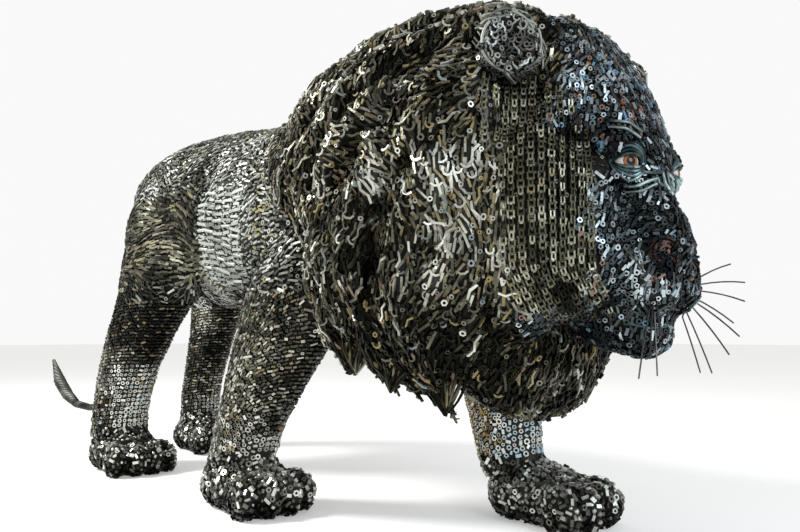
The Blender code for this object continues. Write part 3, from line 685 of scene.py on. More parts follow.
# ----------------------------------------------------------------------
# The haunches. Longer strips, laid level and nearly end to end, that follow the muscle of
# the hip on each side.
hip_strips = sorted_stock(
    "hip strips",
    rod("hip_strip", 0.050, 0.0040, 0.0028, arch=0.0015, spans=2),
    rod("hip_strip_bent", 0.042, 0.0034, 0.0032, arch=0.0015, sway=0.002, spans=3),
    rod("hip_stub", 0.024, 0.0038, 0.0030),
)
hip_steel = steel_finish(
    "hip steel", (0.010, 0.010, 0.008), (0.110, 0.108, 0.078), (0.40, 0.40, 0.32),
    paint=(0.17, 0.15, 0.06), other=(0.10, 0.08, 0.04), share=0.8, brightness=-0.08,
    roughness=0.42,
)
welded_on("hip_strips", hide_shape, scrap_coat, stock=hip_strips, zone="hip", spacing=0.0135,
          tilt=0.10, wander=0.16, smallest=0.8, largest=1.15, seed=15, finish=hip_steel)

# ----------------------------------------------------------------------
# The paws. Round-cornered nuts and bearing balls, heaped over the toes and ground flush
# underneath, so that the lion stands on flat soles.


def ball(name, radius):
    work = bmesh.new()
    bmesh.ops.create_icosphere(work, subdivisions=1, radius=radius)
    return loose(name, work, smooth=True)


paw_scrap = sorted_stock(
    "paw scrap",
    nut("paw_nut", 0.0140, 0.0068, 0.007),
    rod("paw_block", 0.011, 0.0046, 0.0040),
    ball("paw_ball", 0.0062),
    rod("paw_stub", 0.015, 0.0036, 0.0034),
)
paw_steel = steel_finish(
    "paw steel", (0.010, 0.010, 0.009), (0.140, 0.142, 0.120), (0.66, 0.67, 0.62),
    brightness=-0.02, roughness=0.28,
)
welded_on("paw_scrap", hide_shape, scrap_coat, stock=paw_scrap, zone="paw", spacing=0.0118,
          tilt=0.3, wander=3.0, smallest=0.8, largest=1.2, lift=-0.001, seed=8, finish=paw_steel)

# ----------------------------------------------------------------------
# The legs. Short pins and small nuts welded on in rows that wind round each leg, rising to
# the front on the forelegs and level on the hind legs.
LEG_ROW_PITCH = 0.0098
LEG_PIN_PITCH = 0.0140
NET_PITCH = 0.0130
# The middle line of each leg as x, y and z from the top down, how steeply its rows rise, and
# how high the net of nuts reaches on it
LEG_LINES = (
    (((0.462, -0.180, 0.560), (0.399, -0.205, 0.410), (0.331, -0.212, 0.290),
      (0.232, -0.212, 0.100)), 0.70, 0.245),
    (((0.627, 0.175, 0.560), (0.682, 0.200, 0.400), (0.717, 0.210, 0.270),
      (0.752, 0.212, 0.090)), 0.45, 0.330),
    (((-0.305, -0.180, 0.540), (-0.380, -0.190, 0.430), (-0.451, -0.198, 0.310),
      (-0.505, -0.200, 0.100)), 0.12, 0.330),
    (((-0.573, 0.185, 0.520), (-0.651, 0.198, 0.370), (-0.705, 0.200, 0.220),
      (-0.715, 0.200, 0.100)), 0.12, 0.200),
)
LEG_REACH = 0.17
LEG_RADIUS = 0.10
# How far beyond both heights the rows begin and end, as they slant
SLANT_ROOM = 0.15
LEG_TOP, LEG_FOOT = 0.515, 0.140


def shares(steps):
    """From 0 to 1 in that many even steps."""
    return [step / steps for step in range(steps + 1)]


def evenly(tree, given, pitch):
    """The paths as curves, with points at the pitch that is asked for."""
    curve = wired(tree, "GeometryNodeMeshToCurve", {"Mesh": given["Paths"]})
    return wired(tree, "GeometryNodeResampleCurve", {"Curve": curve, "Length": given[pitch]},
                 mode="LENGTH")


def row_tree():
    """Sets pieces in a row along each path, at an even pitch, their tops facing outwards."""
    tree, given, result = new_group("row of scrap", "GeometryNodeTree", {
        "Paths": "Geometry", "Stock": "Collection", "Pitch": "Float", "Turn": "Float",
        "Wander": "Float", "Smallest": "Float", "Largest": "Float", "Seed": "Int",
        "Finish": "Material",
    }, {"Row": "Geometry"})
    points = wired(tree, "GeometryNodeCurveToPoints", {"Curve": evenly(tree, given, "Pitch")},
                   mode="EVALUATED").outputs
    along = faced(tree, "X", points["Tangent"])
    upright = faced(tree, "Z", kept_on(tree, "up", "FLOAT_VECTOR"), before=along, about="X")
    turn = chance(tree, maths(tree, "SUBTRACT", given["Turn"], given["Wander"]),
                  maths(tree, "ADD", given["Turn"], given["Wander"]), given["Seed"])
    aim = turned_on(tree, upright, wired(tree, "ShaderNodeCombineXYZ", {"Z": turn}))
    index = wired(tree, "GeometryNodeInputIndex")
    return finished(tree, given, result, set_down(tree, given, points["Points"], index, aim))


def line_mesh(name, paths):
    """One mesh of open lines through lists of (point, value) pairs, as worn as the hide below."""
    points, edges = [], []
    for path in paths:
        start = len(points)
        points += [point for point, _ in path]
        edges += [(i, i + 1) for i in range(start, len(points) - 1)]
    mesh = bpy.data.meshes.new(name)
    # One mesh of open lines through lists of (point, value) pairs, with the painted light and shade,
    # tone and paint of the hide below.
    mesh.from_pydata(points, edges, [])
    below = [hide_shape.polygons[hide_tree.find_nearest(p)[2]].vertices[0] for p in points]
    for label, values in light_tone_and_paint.items():
        store(mesh, label, values[below])
    return mesh


def seam(paths):
    """Lines along the hide from lists of (point, outward) pairs."""
    mesh = line_mesh("seam", paths)
    store(mesh, "up", np.array([tuple(outward) for path in paths for _, outward in path]))
    return mesh


def struck(start, aim):
    """Where a line from outside first meets the hide, and which way the hide faces there."""
    point, outward, _, _ = hide_tree.ray_cast(start, aim)
    return (point, outward) if point else None


def leg_rows(line, rise, low, high, pitch):
    """Rows wound round a leg between two heights, each on its slant, as paths on the hide."""
    corners = np.array(line[::-1])
    paths = []
    for row in range(int((high - low + 2 * SLANT_ROOM) / pitch)):
        path = []
        for angle in [math.tau * share for share in shares(48)]:
            across = Vector((math.cos(angle), math.sin(angle), 0))
            height = low - SLANT_ROOM + row * pitch + rise * LEG_RADIUS * across.x
            middle = Vector((np.interp(height, corners[:, 2], corners[:, 0]),
                             np.interp(height, corners[:, 2], corners[:, 1]), height))
            hit = struck(middle + across * LEG_REACH, -across)
            fair = hit and hit[1].dot(across) > 0.1 and (hit[0] - middle).dot(across) > 0
            ragged = 0.018 * math.sin(2 * angle + 1.3) + 0.010 * math.sin(5 * angle)
            from_here = low + ragged * (low > LEG_FOOT)
            if fair and from_here < height < high + ragged * (high < LEG_TOP):
                path.append(hit)
            elif path:
                paths.append(path)
                path = []
        paths.append(path)
    return paths


pin_paths, net_paths = [], []
for line, rise, net_top in LEG_LINES:
    pin_paths += leg_rows(line, rise, net_top, LEG_TOP, LEG_ROW_PITCH)
    net_paths += leg_rows(line, rise, LEG_FOOT, net_top, NET_PITCH)
row_of_scrap = row_tree()
leg_pins = sorted_stock(
    "leg pins",
    rod("leg_a_pin", 0.0150, 0.0030, 0.0030),
    rod("leg_b_pin", 0.0110, 0.0026, 0.0036),
    nut("leg_c_nut", 0.0095, 0.0048, 0.0045, sides=5),
    rod("leg_d_pin", 0.0175, 0.0026, 0.0028),
    rod("leg_e_stub", 0.0080, 0.0034, 0.0034),
)
leg_nuts = sorted_stock(
    "leg nuts",
    nut("net_a_nut", 0.0130, 0.0068, 0.0048),
    nut("net_b_nut", 0.0115, 0.0060, 0.0056, sides=5),
    rod("net_c_stub", 0.0110, 0.0036, 0.0034),
)
leg_steel = steel_finish(
    "leg steel", (0.010, 0.010, 0.008), (0.105, 0.104, 0.078), (0.52, 0.52, 0.44),
    paint=(0.17, 0.14, 0.06), other=(0.12, 0.08, 0.045), share=1.0, roughness=0.34,
)
net_steel = steel_finish(
    "net steel", (0.014, 0.014, 0.011), (0.170, 0.168, 0.135), (0.62, 0.63, 0.58),
    paint=(0.32, 0.22, 0.08), other=(0.44, 0.58, 0.64), share=0.65, roughness=0.32,
)
welded_on("leg_rows", seam(pin_paths), row_of_scrap, stock=leg_pins, pitch=LEG_PIN_PITCH,
          wander=0.42, smallest=0.7, largest=1.15, seed=9, finish=leg_steel)
welded_on("leg_nets", seam(net_paths), row_of_scrap, stock=leg_nuts, pitch=NET_PITCH, turn=0.3,
          wander=1.1, smallest=0.75, largest=1.2, seed=19, finish=net_steel)

# ----------------------------------------------------------------------
# The mane. Bent rods and strips, welded at one end and swept back over the neck, then down
# the sides into hanging locks, with nuts and rod ends filling in between them. Bundles of
# longer rods are drawn together into the points of its hem.
# Each point of the hem: where its bundle begins behind and in front, its tip, its rods
HEM_POINTS = (
    ((0.672, 0.262, 0.392), (0.790, 0.268, 0.390), (0.736, 0.265, 0.338), 34),
    ((0.792, 0.262, 0.384), (0.880, 0.256, 0.346), (0.831, 0.260, 0.307), 34),
    ((0.856, 0.232, 0.338), (0.980, 0.225, 0.334), (0.943, 0.225, 0.268), 44),
)


def hook(name, radius, thick, sweep, spans=5, sides=4):
    """A rod bent round into a hook or an open ring, lying on its side."""
    work = bmesh.new()
    rings = []
    for share in shares(spans):
        bend = sweep * (share - 0.5)
        ring = []
        for turn in turns(sides, 0.5):
            out = radius + CORNER_REACH * thick * math.cos(turn)
            up = thick * (1 + CORNER_REACH * math.sin(turn))
            ring.append(work.verts.new((out * math.cos(bend) - radius, out * math.sin(bend), up)))
        rings.append(ring)
    walled(work, rings)
    return loose(name, work)


def bent_rod_tree():
    """A round rod, closed at its ends, along each path, as thick as its points ask."""
    tree, given, result = new_group("bend rods", "GeometryNodeTree", {
        "Paths": "Geometry", "Step": "Float", "Sides": "Int", "Finish": "Material",
    }, {"Rods": "Geometry"})
    ring = wired(tree, "GeometryNodeCurvePrimitiveCircle", {
        "Resolution": given["Sides"], "Radius": 1.0}, mode="RADIUS")
    tube = wired(tree, "GeometryNodeCurveToMesh", {
        "Curve": evenly(tree, given, "Step"), "Profile Curve": ring,
        "Scale": kept_on(tree, "thick"), "Fill Caps": True})
    real = wired(tree, "GeometryNodeRealizeInstances", {"Geometry": tube})
    return finished(tree, given, result, real)


def rods_along(name, paths, finish, step=0.006, sides=6):
    """Bent rods along lists of (point, thickness) pairs, each tinted on its own."""
    dice = random.Random(name)
    paths = [path for path in paths if len(path) > 3]
    mesh = line_mesh(name, paths)
    store(mesh, "thick", np.array([thick for path in paths for _, thick in path]))
    tints = [dice.random() for _ in paths]
    store(mesh, "tint", np.repeat(tints, [len(path) for path in paths]))
    welded_on(name, mesh, bend_rods, step=step, sides=sides, finish=finish)


mane_rods = sorted_stock(
    "mane rods",
    rod("mane_rod", 0.029, 0.0025, 0.0024, arch=0.001, sway=0.0018, spans=2),
    rod("mane_rod_back", 0.025, 0.0023, 0.0024, arch=0.001, sway=-0.0018, spans=2),
    rod("mane_strip", 0.023, 0.0033, 0.0020, arch=0.001, spans=2, taper=0.3),
    rod("mane_pin", 0.018, 0.0026, 0.0026),
    rod("mane_stub", 0.013, 0.0030, 0.0032),
)
mane_curls = sorted_stock(
    "mane curls",
    nut("mane_nut", 0.0125, 0.0062, 0.0060),
    hook("mane_hook", 0.0080, 0.0020, 3.7),
    rod("mane_long", 0.044, 0.0026, 0.0027, arch=0.003, sway=0.0042, spans=3),
    nut("mane_ring", 0.0095, 0.0046, 0.0070, sides=5),
    hook("mane_bend", 0.0120, 0.0022, 2.0, spans=3),
)
mane_steel = steel_finish(
    "mane steel", (0.009, 0.009, 0.006), (0.112, 0.108, 0.077), (0.52, 0.52, 0.45),
    paint=(0.19, 0.155, 0.055), other=(0.15, 0.10, 0.055), share=0.6, brightness=-0.05,
    roughness=0.38,
)
curl_steel = steel_finish(
    "curled rod steel", (0.012, 0.012, 0.009), (0.160, 0.158, 0.120), (0.60, 0.60, 0.54),
    paint=(0.24, 0.19, 0.07), other=(0.17, 0.21, 0.20), share=0.5, brightness=0.02,
    roughness=0.34,
)
welded_on("mane_rods", hide_shape, scrap_coat, stock=mane_rods, zone="mane", spacing=0.0109,
          tilt=0.18, wander=0.45, smallest=0.75, largest=1.2, seed=21, finish=mane_steel)
welded_on("mane_curls", hide_shape, scrap_coat, stock=mane_curls, zone="mane", spacing=0.0195,
          tilt=0.22, wander=0.7, smallest=0.75, largest=1.15, lift=0.003, seed=34,
          finish=curl_steel)

bend_rods = bent_rod_tree()
dice = random.Random(31)
hem_paths = []
for way in (1, -1):
    for behind, before, tip, count in HEM_POINTS:
        for k in range(count):
            begin = Vector(behind).lerp(Vector(before), dice.random())
            begin += Vector((0, dice.uniform(-0.022, 0.016), dice.uniform(0.0, 0.040)))
            reach = dice.uniform(0.62, 1.0)
            bow = Vector((dice.uniform(-0.010, 0.010), dice.uniform(-0.006, 0.010), 0))
            hem_paths.append([
                (mirrored(begin.lerp(Vector(tip), t * reach) + bow * math.sin(math.pi * t), way),
                 0.0034 - 0.0012 * t)
                for t in shares(5)
            ])
rods_along("hem_rods", hem_paths, mane_steel, step=0.012, sides=5)

# ----------------------------------------------------------------------
# The face. Small nuts and offcuts with blue heat tints, set tightly over the forehead, the
# bridge of the nose, the muzzle and the chin.
face_scrap = sorted_stock(
    "face scrap",
    nut("face_nut", 0.0105, 0.0050, 0.0045),
    rod("face_stub", 0.0120, 0.0030, 0.0026),
    rod("face_strip", 0.0180, 0.0026, 0.0022, arch=0.0008, spans=2),
    nut("face_washer", 0.0100, 0.0050, 0.0024, sides=5),
)
face_steel = steel_finish(
    "blued steel", (0.008, 0.011, 0.013), (0.074, 0.089, 0.093), (0.48, 0.55, 0.58),
    paint=(0.20, 0.085, 0.055), other=(0.10, 0.22, 0.31), share=0.45, brightness=-0.05,
    roughness=0.32,
)
welded_on("face_scrap", hide_shape, scrap_coat, stock=face_scrap, zone="face", spacing=0.0080,
          tilt=0.22, wander=0.55, smallest=0.75, largest=1.15, lift=0.0022, seed=55,
          finish=face_steel)

# ----------------------------------------------------------------------
# The cheeks. Lengths of roller chain hung side by side from the temple to the jaw, where
# their ends bend forward to the corner of the mouth.
CHAIN_PITCH = 0.0116
CHAIN_WIDTH = 0.0126
INNER_WIDTH = 0.72
PLATE_THICK = 0.0026
ROLLER_RADIUS = 0.0032
ROLLER_HEIGHT = 0.30
ROLLER_PLAY = 0.004
# The corners of a link's side plate, along and above its seam, in pitches
LINK_PLATE = ((-0.62, 0.0), (0.62, 0.0), (0.62, 0.44), (0.42, 0.62), (-0.42, 0.62), (-0.62, 0.44))
CHAIN_ROWS = 12
# A distance from the lion's middle that is outside it, whichever way it is seen
OUTSIDE = 1.25
ROW_SPACING = 0.0158
CHEEK_START = 0.752
CHEEK_TOP, CHEEK_LOW = 0.872, 0.452
# Behind the temple the top comes down, and below the jaw the chain bends forward
TEMPLE, TOP_FALL = 0.86, 1.6
JAW, JAW_BEND = 0.53, 0.45
# Behind this edge and below this height the hair hides the cheek
HAIR_EDGE, HAIR_TOP = 0.775, 0.745


def chain_link(name, inner):
    """One link seen from its edge: two upright side plates and the roller between them."""
    work = bmesh.new()
    half = CHAIN_WIDTH / 2 * (INNER_WIDTH if inner else 1.0)
    for way in (-1, 1):
        walled(work, [
            [work.verts.new((along * CHAIN_PITCH, way * out, up * CHAIN_PITCH))
             for along, up in LINK_PLATE]
            for out in (half, half - PLATE_THICK)
        ])
    roller = bmesh.ops.create_cone(work, cap_ends=True, segments=6, radius1=ROLLER_RADIUS,
                                   radius2=ROLLER_RADIUS, depth=2 * half - ROLLER_PLAY)["verts"]
    bmesh.ops.rotate(work, verts=roller, matrix=Matrix.Rotation(math.pi / 2, 3, "X"))
    bmesh.ops.translate(work, verts=roller, vec=(CHAIN_PITCH / 2, 0, ROLLER_HEIGHT * CHAIN_PITCH))
    return loose(name, work)


def met(square_on, way, across, height):
    """Where the hide is met by a look square on, at a place across it and a height."""
    start = Vector((square_on.y, -square_on.x, 0)) * across + square_on * OUTSIDE
    start.z = height
    return struck(mirrored(start, way), mirrored(-square_on, way))


cheek_paths = []
for way in (-1, 1):
    for row in range(CHAIN_ROWS):
        start = CHEEK_START + ROW_SPACING * row
        top = CHEEK_TOP - TOP_FALL * max(0, start - TEMPLE)
        path = []
        for share in shares(40):
            height = top + (CHEEK_LOW - top) * share
            shift = JAW_BEND * max(0, JAW - height)
            hit = met(CHEEK_ON, way, start + shift, height)
            under_hair = height < HAIR_TOP and start < HAIR_EDGE
            if hit and not under_hair and hit[1].dot(mirrored(CHEEK_ON, way)) > -0.10:
                path.append(hit)
        cheek_paths.append(path)
chain_stock = sorted_stock("chain links", chain_link("link_a_outer", False),
                           chain_link("link_b_inner", True))
chain_steel = steel_finish(
    "chain steel", (0.010, 0.010, 0.007), (0.118, 0.116, 0.078), (0.39, 0.39, 0.30),
    paint=(0.20, 0.17, 0.07), share=0.3, brightness=0.02, roughness=0.28,
)
welded_on("cheek_chain", seam(cheek_paths), row_of_scrap, stock=chain_stock, pitch=CHAIN_PITCH,
          wander=0.04, smallest=0.98, largest=1.02, seed=2, finish=chain_steel)

cheek_steel = steel_finish(
    "cheek steel", (0.008, 0.008, 0.007), (0.050, 0.050, 0.038), (0.26, 0.26, 0.21),
    paint=(0.14, 0.11, 0.04), share=0.3, brightness=-0.05, roughness=0.34,
)
welded_on("cheek_bits", hide_shape, scrap_coat, stock=face_scrap, zone="cheek", spacing=0.0100,
          tilt=0.2, wander=0.5, smallest=0.6, largest=0.9, lift=-0.0005, seed=77,
          finish=cheek_steel)

# ----------------------------------------------------------------------
# The ribs. Short flat bars, stacked level one above the other in columns down each flank,
# with a gap between them that shows the dark hide.
RIB_PITCH = 0.0160
RIB_LENGTH = 0.058
# Square on to the left flank
FLANK_ON = Vector((0, 1, 0))
# Each column: its middle along the lion, and the heights of its top and bottom bars
RIB_COLUMNS = ((0.022, 0.770, 0.575), (0.073, 0.795, 0.555), (0.124, 0.800, 0.545),
               (0.175, 0.795, 0.545), (0.226, 0.780, 0.560))
rib_stock = sorted_stock(
    "rib bars",
    rod("rib_a", RIB_LENGTH, 0.0042, 0.0034, arch=0.001, spans=3),
    rod("rib_b", RIB_LENGTH * 0.86, 0.0036, 0.0038, arch=0.001, sides=6, spans=3),
    rod("rib_c", RIB_LENGTH * 0.62, 0.0046, 0.0032, arch=0.001, spans=2),
)
rib_paths = []
for way in (-1, 1):
    for column, high, low in RIB_COLUMNS:
        path = []
        for share in shares(18):
            height = high + (low - high) * share
            hit = met(FLANK_ON, way, column + 0.012 * math.sin(9 * height), height)
            if hit:
                path.append(hit)
        rib_paths.append(path)
rib_steel = steel_finish(
    "rib steel", (0.045, 0.048, 0.044), (0.225, 0.235, 0.215), (0.46, 0.485, 0.45),
    brightness=0.04, roughness=0.54,
)
welded_on("rib_bars", seam(rib_paths), row_of_scrap, stock=rib_stock, pitch=RIB_PITCH,
          turn=math.pi / 2, wander=0.14, smallest=0.82, largest=1.10, seed=4, finish=rib_steel)
welded_on("rib_bits", hide_shape, scrap_coat, stock=coat_scrap, zone="flank", spacing=0.0125,
          tilt=0.2, wander=0.4, smallest=0.6, largest=0.85, seed=6, finish=rib_steel)

# ----------------------------------------------------------------------
# The eyes. Glass balls with an amber iris and a dark pupil, set into sockets in the hide.
# The glass from the middle of the gaze outwards: how far off it, as a share of a right angle
EYE_RINGS = (
    (0.27, (0.004, 0.003, 0.003, 1)), (0.30, (0.17, 0.060, 0.025, 1)),
    (0.39, (0.34, 0.135, 0.050, 1)), (0.45, (0.06, 0.02, 0.010, 1)), (0.50, (0.60, 0.56, 0.52, 1)),
)


def eye_finish():
    made, tree, surface = new_finish("amber glass")
    spread = maths(tree, "MULTIPLY_ADD", speckle(tree, 380.0, 3.0), 0.10, kept_number(tree, "gaze"))
    ramp = wired(tree, "ShaderNodeValToRGB", {0: spread})
    stops = ramp.color_ramp.elements
    for position, _ in EYE_RINGS[2:]:
        stops.new(position)
    for stop, (position, colour) in zip(stops, EYE_RINGS):
        stop.position, stop.color = position, colour
    fed(tree, surface, {"Base Color": ramp, "Roughness": 0.10, "Specular IOR Level": 0.3,
                        "Coat Weight": 0.15, "Coat Roughness": 0.03})
    return made


amber = eye_finish()
for name, way in (("left_eye", 1), ("right_eye", -1)):
    work = bmesh.new()
    bmesh.ops.create_uvsphere(work, u_segments=32, v_segments=20, radius=EYE_RADIUS)
    angles = []
    for vertex in work.verts:
        angles.append(vertex.co.angle(mirrored(GAZE, way)) / (math.pi / 2))
        vertex.co = mirrored(EYE, way) + vertex.co
    eyeball = new_piece(name + "_ball", mesh_of(name + "_ball", work))
    eyeball.data.shade_smooth()
    store(eyeball.data, "gaze", np.array(angles))
    eyeball.data.materials.append(amber)
    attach(eyeball, "root")
    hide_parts(name)

# ----------------------------------------------------------------------
# The eyelids. Blued rods, bent round each eyeball one outside the other and welded to the
# socket at both corners, so that an almond of glass is left open.
# Each lid: how far it bows up or down at its middle, in degrees, its distance from the
# middle of the eyeball, and its thickness
LIDS = (
    (27, 0.0262, 0.0032), (42, 0.0285, 0.0038), (58, 0.0320, 0.0040), (76, 0.0360, 0.0042),
    (-26, 0.0262, 0.0028), (-41, 0.0275, 0.0030), (-57, 0.0300, 0.0032), (-76, 0.0335, 0.0032),
)
# How far round the eyeball the lids reach, in degrees to each side
LID_CORNER = 82
# Square on to the left side of the face
FACE_ON = Vector((0.74, 0.67, 0))
# Each rod of the socket, as places (across the face, height), and its thickness, and how far
# its middle line lies over the hide
SOCKET_RODS = (
    (((0.768, 0.682), (0.796, 0.680), (0.834, 0.691)), 0.0036),
    (((0.776, 0.671), (0.806, 0.669), (0.828, 0.680)), 0.0028),
    (((0.800, 0.700), (0.818, 0.698), (0.844, 0.703)), 0.0034),
    (((0.806, 0.722), (0.822, 0.714)), 0.0036), (((0.812, 0.710), (0.830, 0.706)), 0.0030),
    (((0.850, 0.702), (0.852, 0.680), (0.848, 0.656)), 0.0036),
    (((0.839, 0.690), (0.840, 0.664)), 0.0028),
    (((0.742, 0.774), (0.770, 0.772), (0.800, 0.754)), 0.0032),
    (((0.745, 0.787), (0.776, 0.785), (0.806, 0.766)), 0.0030),
)
SOCKET_LIFT = 0.0075


def face_curve(way, places, thick, lift=0.003):
    """A rod laid over the face through places given as (across, height), seen square on."""
    path = []
    for (a_from, z_from), (a_to, z_to) in zip(places, places[1:]):
        for t in shares(6)[:-1]:
            hit = met(FACE_ON, way, a_from + (a_to - a_from) * t, z_from + (z_to - z_from) * t)
            if hit:
                path.append((hit[0] + hit[1] * lift, thick))
    return path


lid_paths = []
for way in (1, -1):
    look = mirrored(GAZE, way)
    over = look.cross(Vector((0, 0, 1))).normalized()
    upward = over.cross(look)
    for bow, reach, thick in LIDS:
        path = []
        for share in shares(14):
            turn = math.radians(LID_CORNER * (2 * share - 1))
            rise = math.radians(bow) * math.sin(math.pi * share) ** 0.7
            aim = (look * math.cos(turn) + over * math.sin(turn)) * math.cos(rise)
            aim += upward * math.sin(rise)
            path.append((mirrored(EYE, way) + aim * reach,
                         thick * (0.6 + 0.4 * math.sin(math.pi * share))))
        lid_paths.append(path)
lid_steel = steel_finish(
    "lid steel", (0.010, 0.016, 0.018), (0.09, 0.135, 0.14), (0.40, 0.57, 0.57), brightness=-0.04,
)
rods_along("eyelids", lid_paths, lid_steel, step=0.004, sides=8)
socket_paths = [face_curve(way, line, thick, SOCKET_LIFT)
                for way in (1, -1) for line, thick in SOCKET_RODS]
socket_steel = steel_finish(
    "socket steel", (0.012, 0.018, 0.019), (0.12, 0.155, 0.155), (0.44, 0.54, 0.53),
    brightness=0.12, roughness=0.34,
)
rods_along("socket_rods", socket_paths, socket_steel, step=0.005)

# ----------------------------------------------------------------------
# The nose and mouth. Rusty rod curled round the nostrils, upright rods on the whisker pads,
# and two rods that draw the line of the mouth.
NOSTRIL_ACROSS, NOSTRIL_HEIGHT = 0.828, 0.556
dice = random.Random(4)
nostril_rods, pad_rods, lip_rods = [], [], []
for way in (1, -1):
    for size, thick in ((0.0115, 0.0030), (0.0185, 0.0032), (0.0255, 0.0034)):
        curl = [math.radians(-60 + 300 * share) for share in shares(16)]
        nostril_rods.append(face_curve(way, [
            (NOSTRIL_ACROSS + size * math.cos(turn) * 1.1, NOSTRIL_HEIGHT + size * math.sin(turn))
            for turn in curl
        ], thick))
    for k in range(9):
        a = 0.796 + 0.0072 * k + dice.uniform(-0.002, 0.002)
        top, low = 0.514 + dice.uniform(-0.010, 0.006), 0.484 + dice.uniform(-0.006, 0.010)
        lean = dice.uniform(-0.005, 0.005)
        pad_rods.append(face_curve(way, ((a, top), (a + lean, low)), 0.0022))
    for k in range(5):
        a = 0.768 + 0.0075 * k
        lean = dice.uniform(-0.003, 0.006)
        pad_rods.append(face_curve(way, ((a, 0.570 - 0.004 * k), (a + lean, 0.540)), 0.0023))
    for drop in (0.0, -0.022):
        lip = [(0.775 + 0.014 * k, 0.462 + drop - 0.010 * math.sin(k * 0.5)) for k in range(7)]
        lip_rods.append(face_curve(way, lip, 0.0032))
rust_steel = steel_finish(
    "rusty rod", (0.008, 0.006, 0.006), (0.024, 0.014, 0.011), (0.12, 0.068, 0.056),
    paint=(0.075, 0.028, 0.020), share=0.7, brightness=0.16, roughness=0.45,
)
pad_steel = steel_finish(
    "pad rods", (0.012, 0.018, 0.020), (0.10, 0.125, 0.13), (0.42, 0.50, 0.50), brightness=-0.05,
    roughness=0.32,
)
rods_along("nostril_rods", nostril_rods, rust_steel, step=0.004)
rods_along("pad_rods", pad_rods, pad_steel, step=0.005)
rods_along("lip_rods", lip_rods, lid_steel)

# ----------------------------------------------------------------------
# The ears. Grey rods bent round the rim, short rods laid back from it like hair, and small
# nuts and hooks filling the cup.
EAR_TURN = (-15, -12, 38)
EAR_HALF_WIDTH, EAR_HALF_HEIGHT = 0.052, 0.060
# Each rim rod: its size beside the ear's, where it begins and ends in degrees, its thickness
EAR_RIMS = ((1.00, -52, 2, 0.0027), (0.95, 14, 60, 0.0030), (1.03, 66, 110, 0.0026),
            (0.93, 116, 166, 0.0030), (1.00, 172, 216, 0.0026), (0.92, 222, 262, 0.0028),
            (0.86, -8, 44, 0.0026), (0.84, 58, 120, 0.0027), (0.80, 138, 204, 0.0026),
            (0.70, -40, 30, 0.0024), (0.66, 76, 150, 0.0026), (0.62, 186, 262, 0.0024),
            (0.48, -70, 30, 0.0022), (0.42, 90, 185, 0.0022))
EAR_FRINGE = 40
ear_turned = Matrix.Identity(4)
for axis, degrees in zip("XYZ", EAR_TURN):
    ear_turned = ear_turned @ Matrix.Rotation(math.radians(degrees), 4, axis)


def over_ear(way, size, turn, high):
    """A place over the ear, from its share of the rim's size, its turn and its height."""
    local = Vector((high, EAR_HALF_WIDTH * size * math.cos(turn),
                    EAR_HALF_HEIGHT * size * math.sin(turn)))
    return mirrored(EAR + ear_turned @ local, way)


dice = random.Random(12)
ear_paths = []
for way in (1, -1):
    for size, begin, end, thick in EAR_RIMS:
        drift = dice.uniform(-0.22, 0.22)
        high = np.interp(size, (0.5, 0.8, 1.0), (-0.004, 0.003, 0.007))
        ear_paths.append([
            (over_ear(way, size + drift * (t - 0.5), math.radians(begin + (end - begin) * t), high),
             thick)
            for t in shares(12)
        ])
    for k in range(EAR_FRINGE):
        begin = math.tau * (k + dice.uniform(-0.5, 0.5)) / EAR_FRINGE
        lean, outer = dice.uniform(-2.2, 2.2), dice.uniform(1.08, 1.26)
        inner, thick = dice.uniform(0.86, 1.0), dice.uniform(0.0020, 0.0027)
        path = []
        for t in shares(4):
            size = inner + (outer - inner) * t
            high = np.interp(size, (0.85, 1.0, 1.30), (0.004, 0.006, -0.014))
            path.append((over_ear(way, size, begin + lean * (size - 1), high), thick))
        ear_paths.append(path)
ear_steel = steel_finish(
    "ear steel", (0.016, 0.016, 0.015), (0.165, 0.166, 0.152), (0.40, 0.415, 0.395),
    brightness=0.22, roughness=0.44,
)
ear_rod_steel = steel_finish(
    "ear rod steel", (0.014, 0.014, 0.012), (0.100, 0.101, 0.088), (0.32, 0.33, 0.30),
    roughness=0.46,
)
ear_scrap = sorted_stock(
    "ear scrap",
    nut("ear_nut", 0.0125, 0.0060, 0.0060, sides=5),
    hook("ear_hook", 0.0075, 0.0018, 3.6),
    rod("ear_rod", 0.024, 0.0020, 0.0022, arch=0.001, sway=0.0025, spans=3),
)
rods_along("ear_rods", ear_paths, ear_rod_steel, step=0.009)
welded_on("ear_bits", hide_shape, scrap_coat, stock=ear_scrap, zone="ear", spacing=0.0080,
          tilt=0.30, wander=0.9, smallest=0.75, largest=1.1, lift=0.001, seed=91,
          finish=ear_steel)

# ----------------------------------------------------------------------
# The tail. Six wires twisted into a rope, thickest near the end and drawn out to a point.
TAIL_LINE = (
    (-0.690, 0.000, 0.780, 0.036), (-0.735, -0.004, 0.660, 0.024), (-0.750, -0.010, 0.560, 0.019),
    (-0.773, -0.030, 0.390, 0.016), (-0.813, -0.060, 0.240, 0.014), (-0.893, -0.090, 0.160, 0.013),
    (-0.993, -0.100, 0.148, 0.013), (-1.093, -0.110, 0.155, 0.015), (-1.173, -0.115, 0.185, 0.022),
    (-1.248, -0.120, 0.235, 0.023), (-1.322, -0.120, 0.316, 0.006),
)
TAIL_WIRES = 6
TAIL_TWISTS = 9
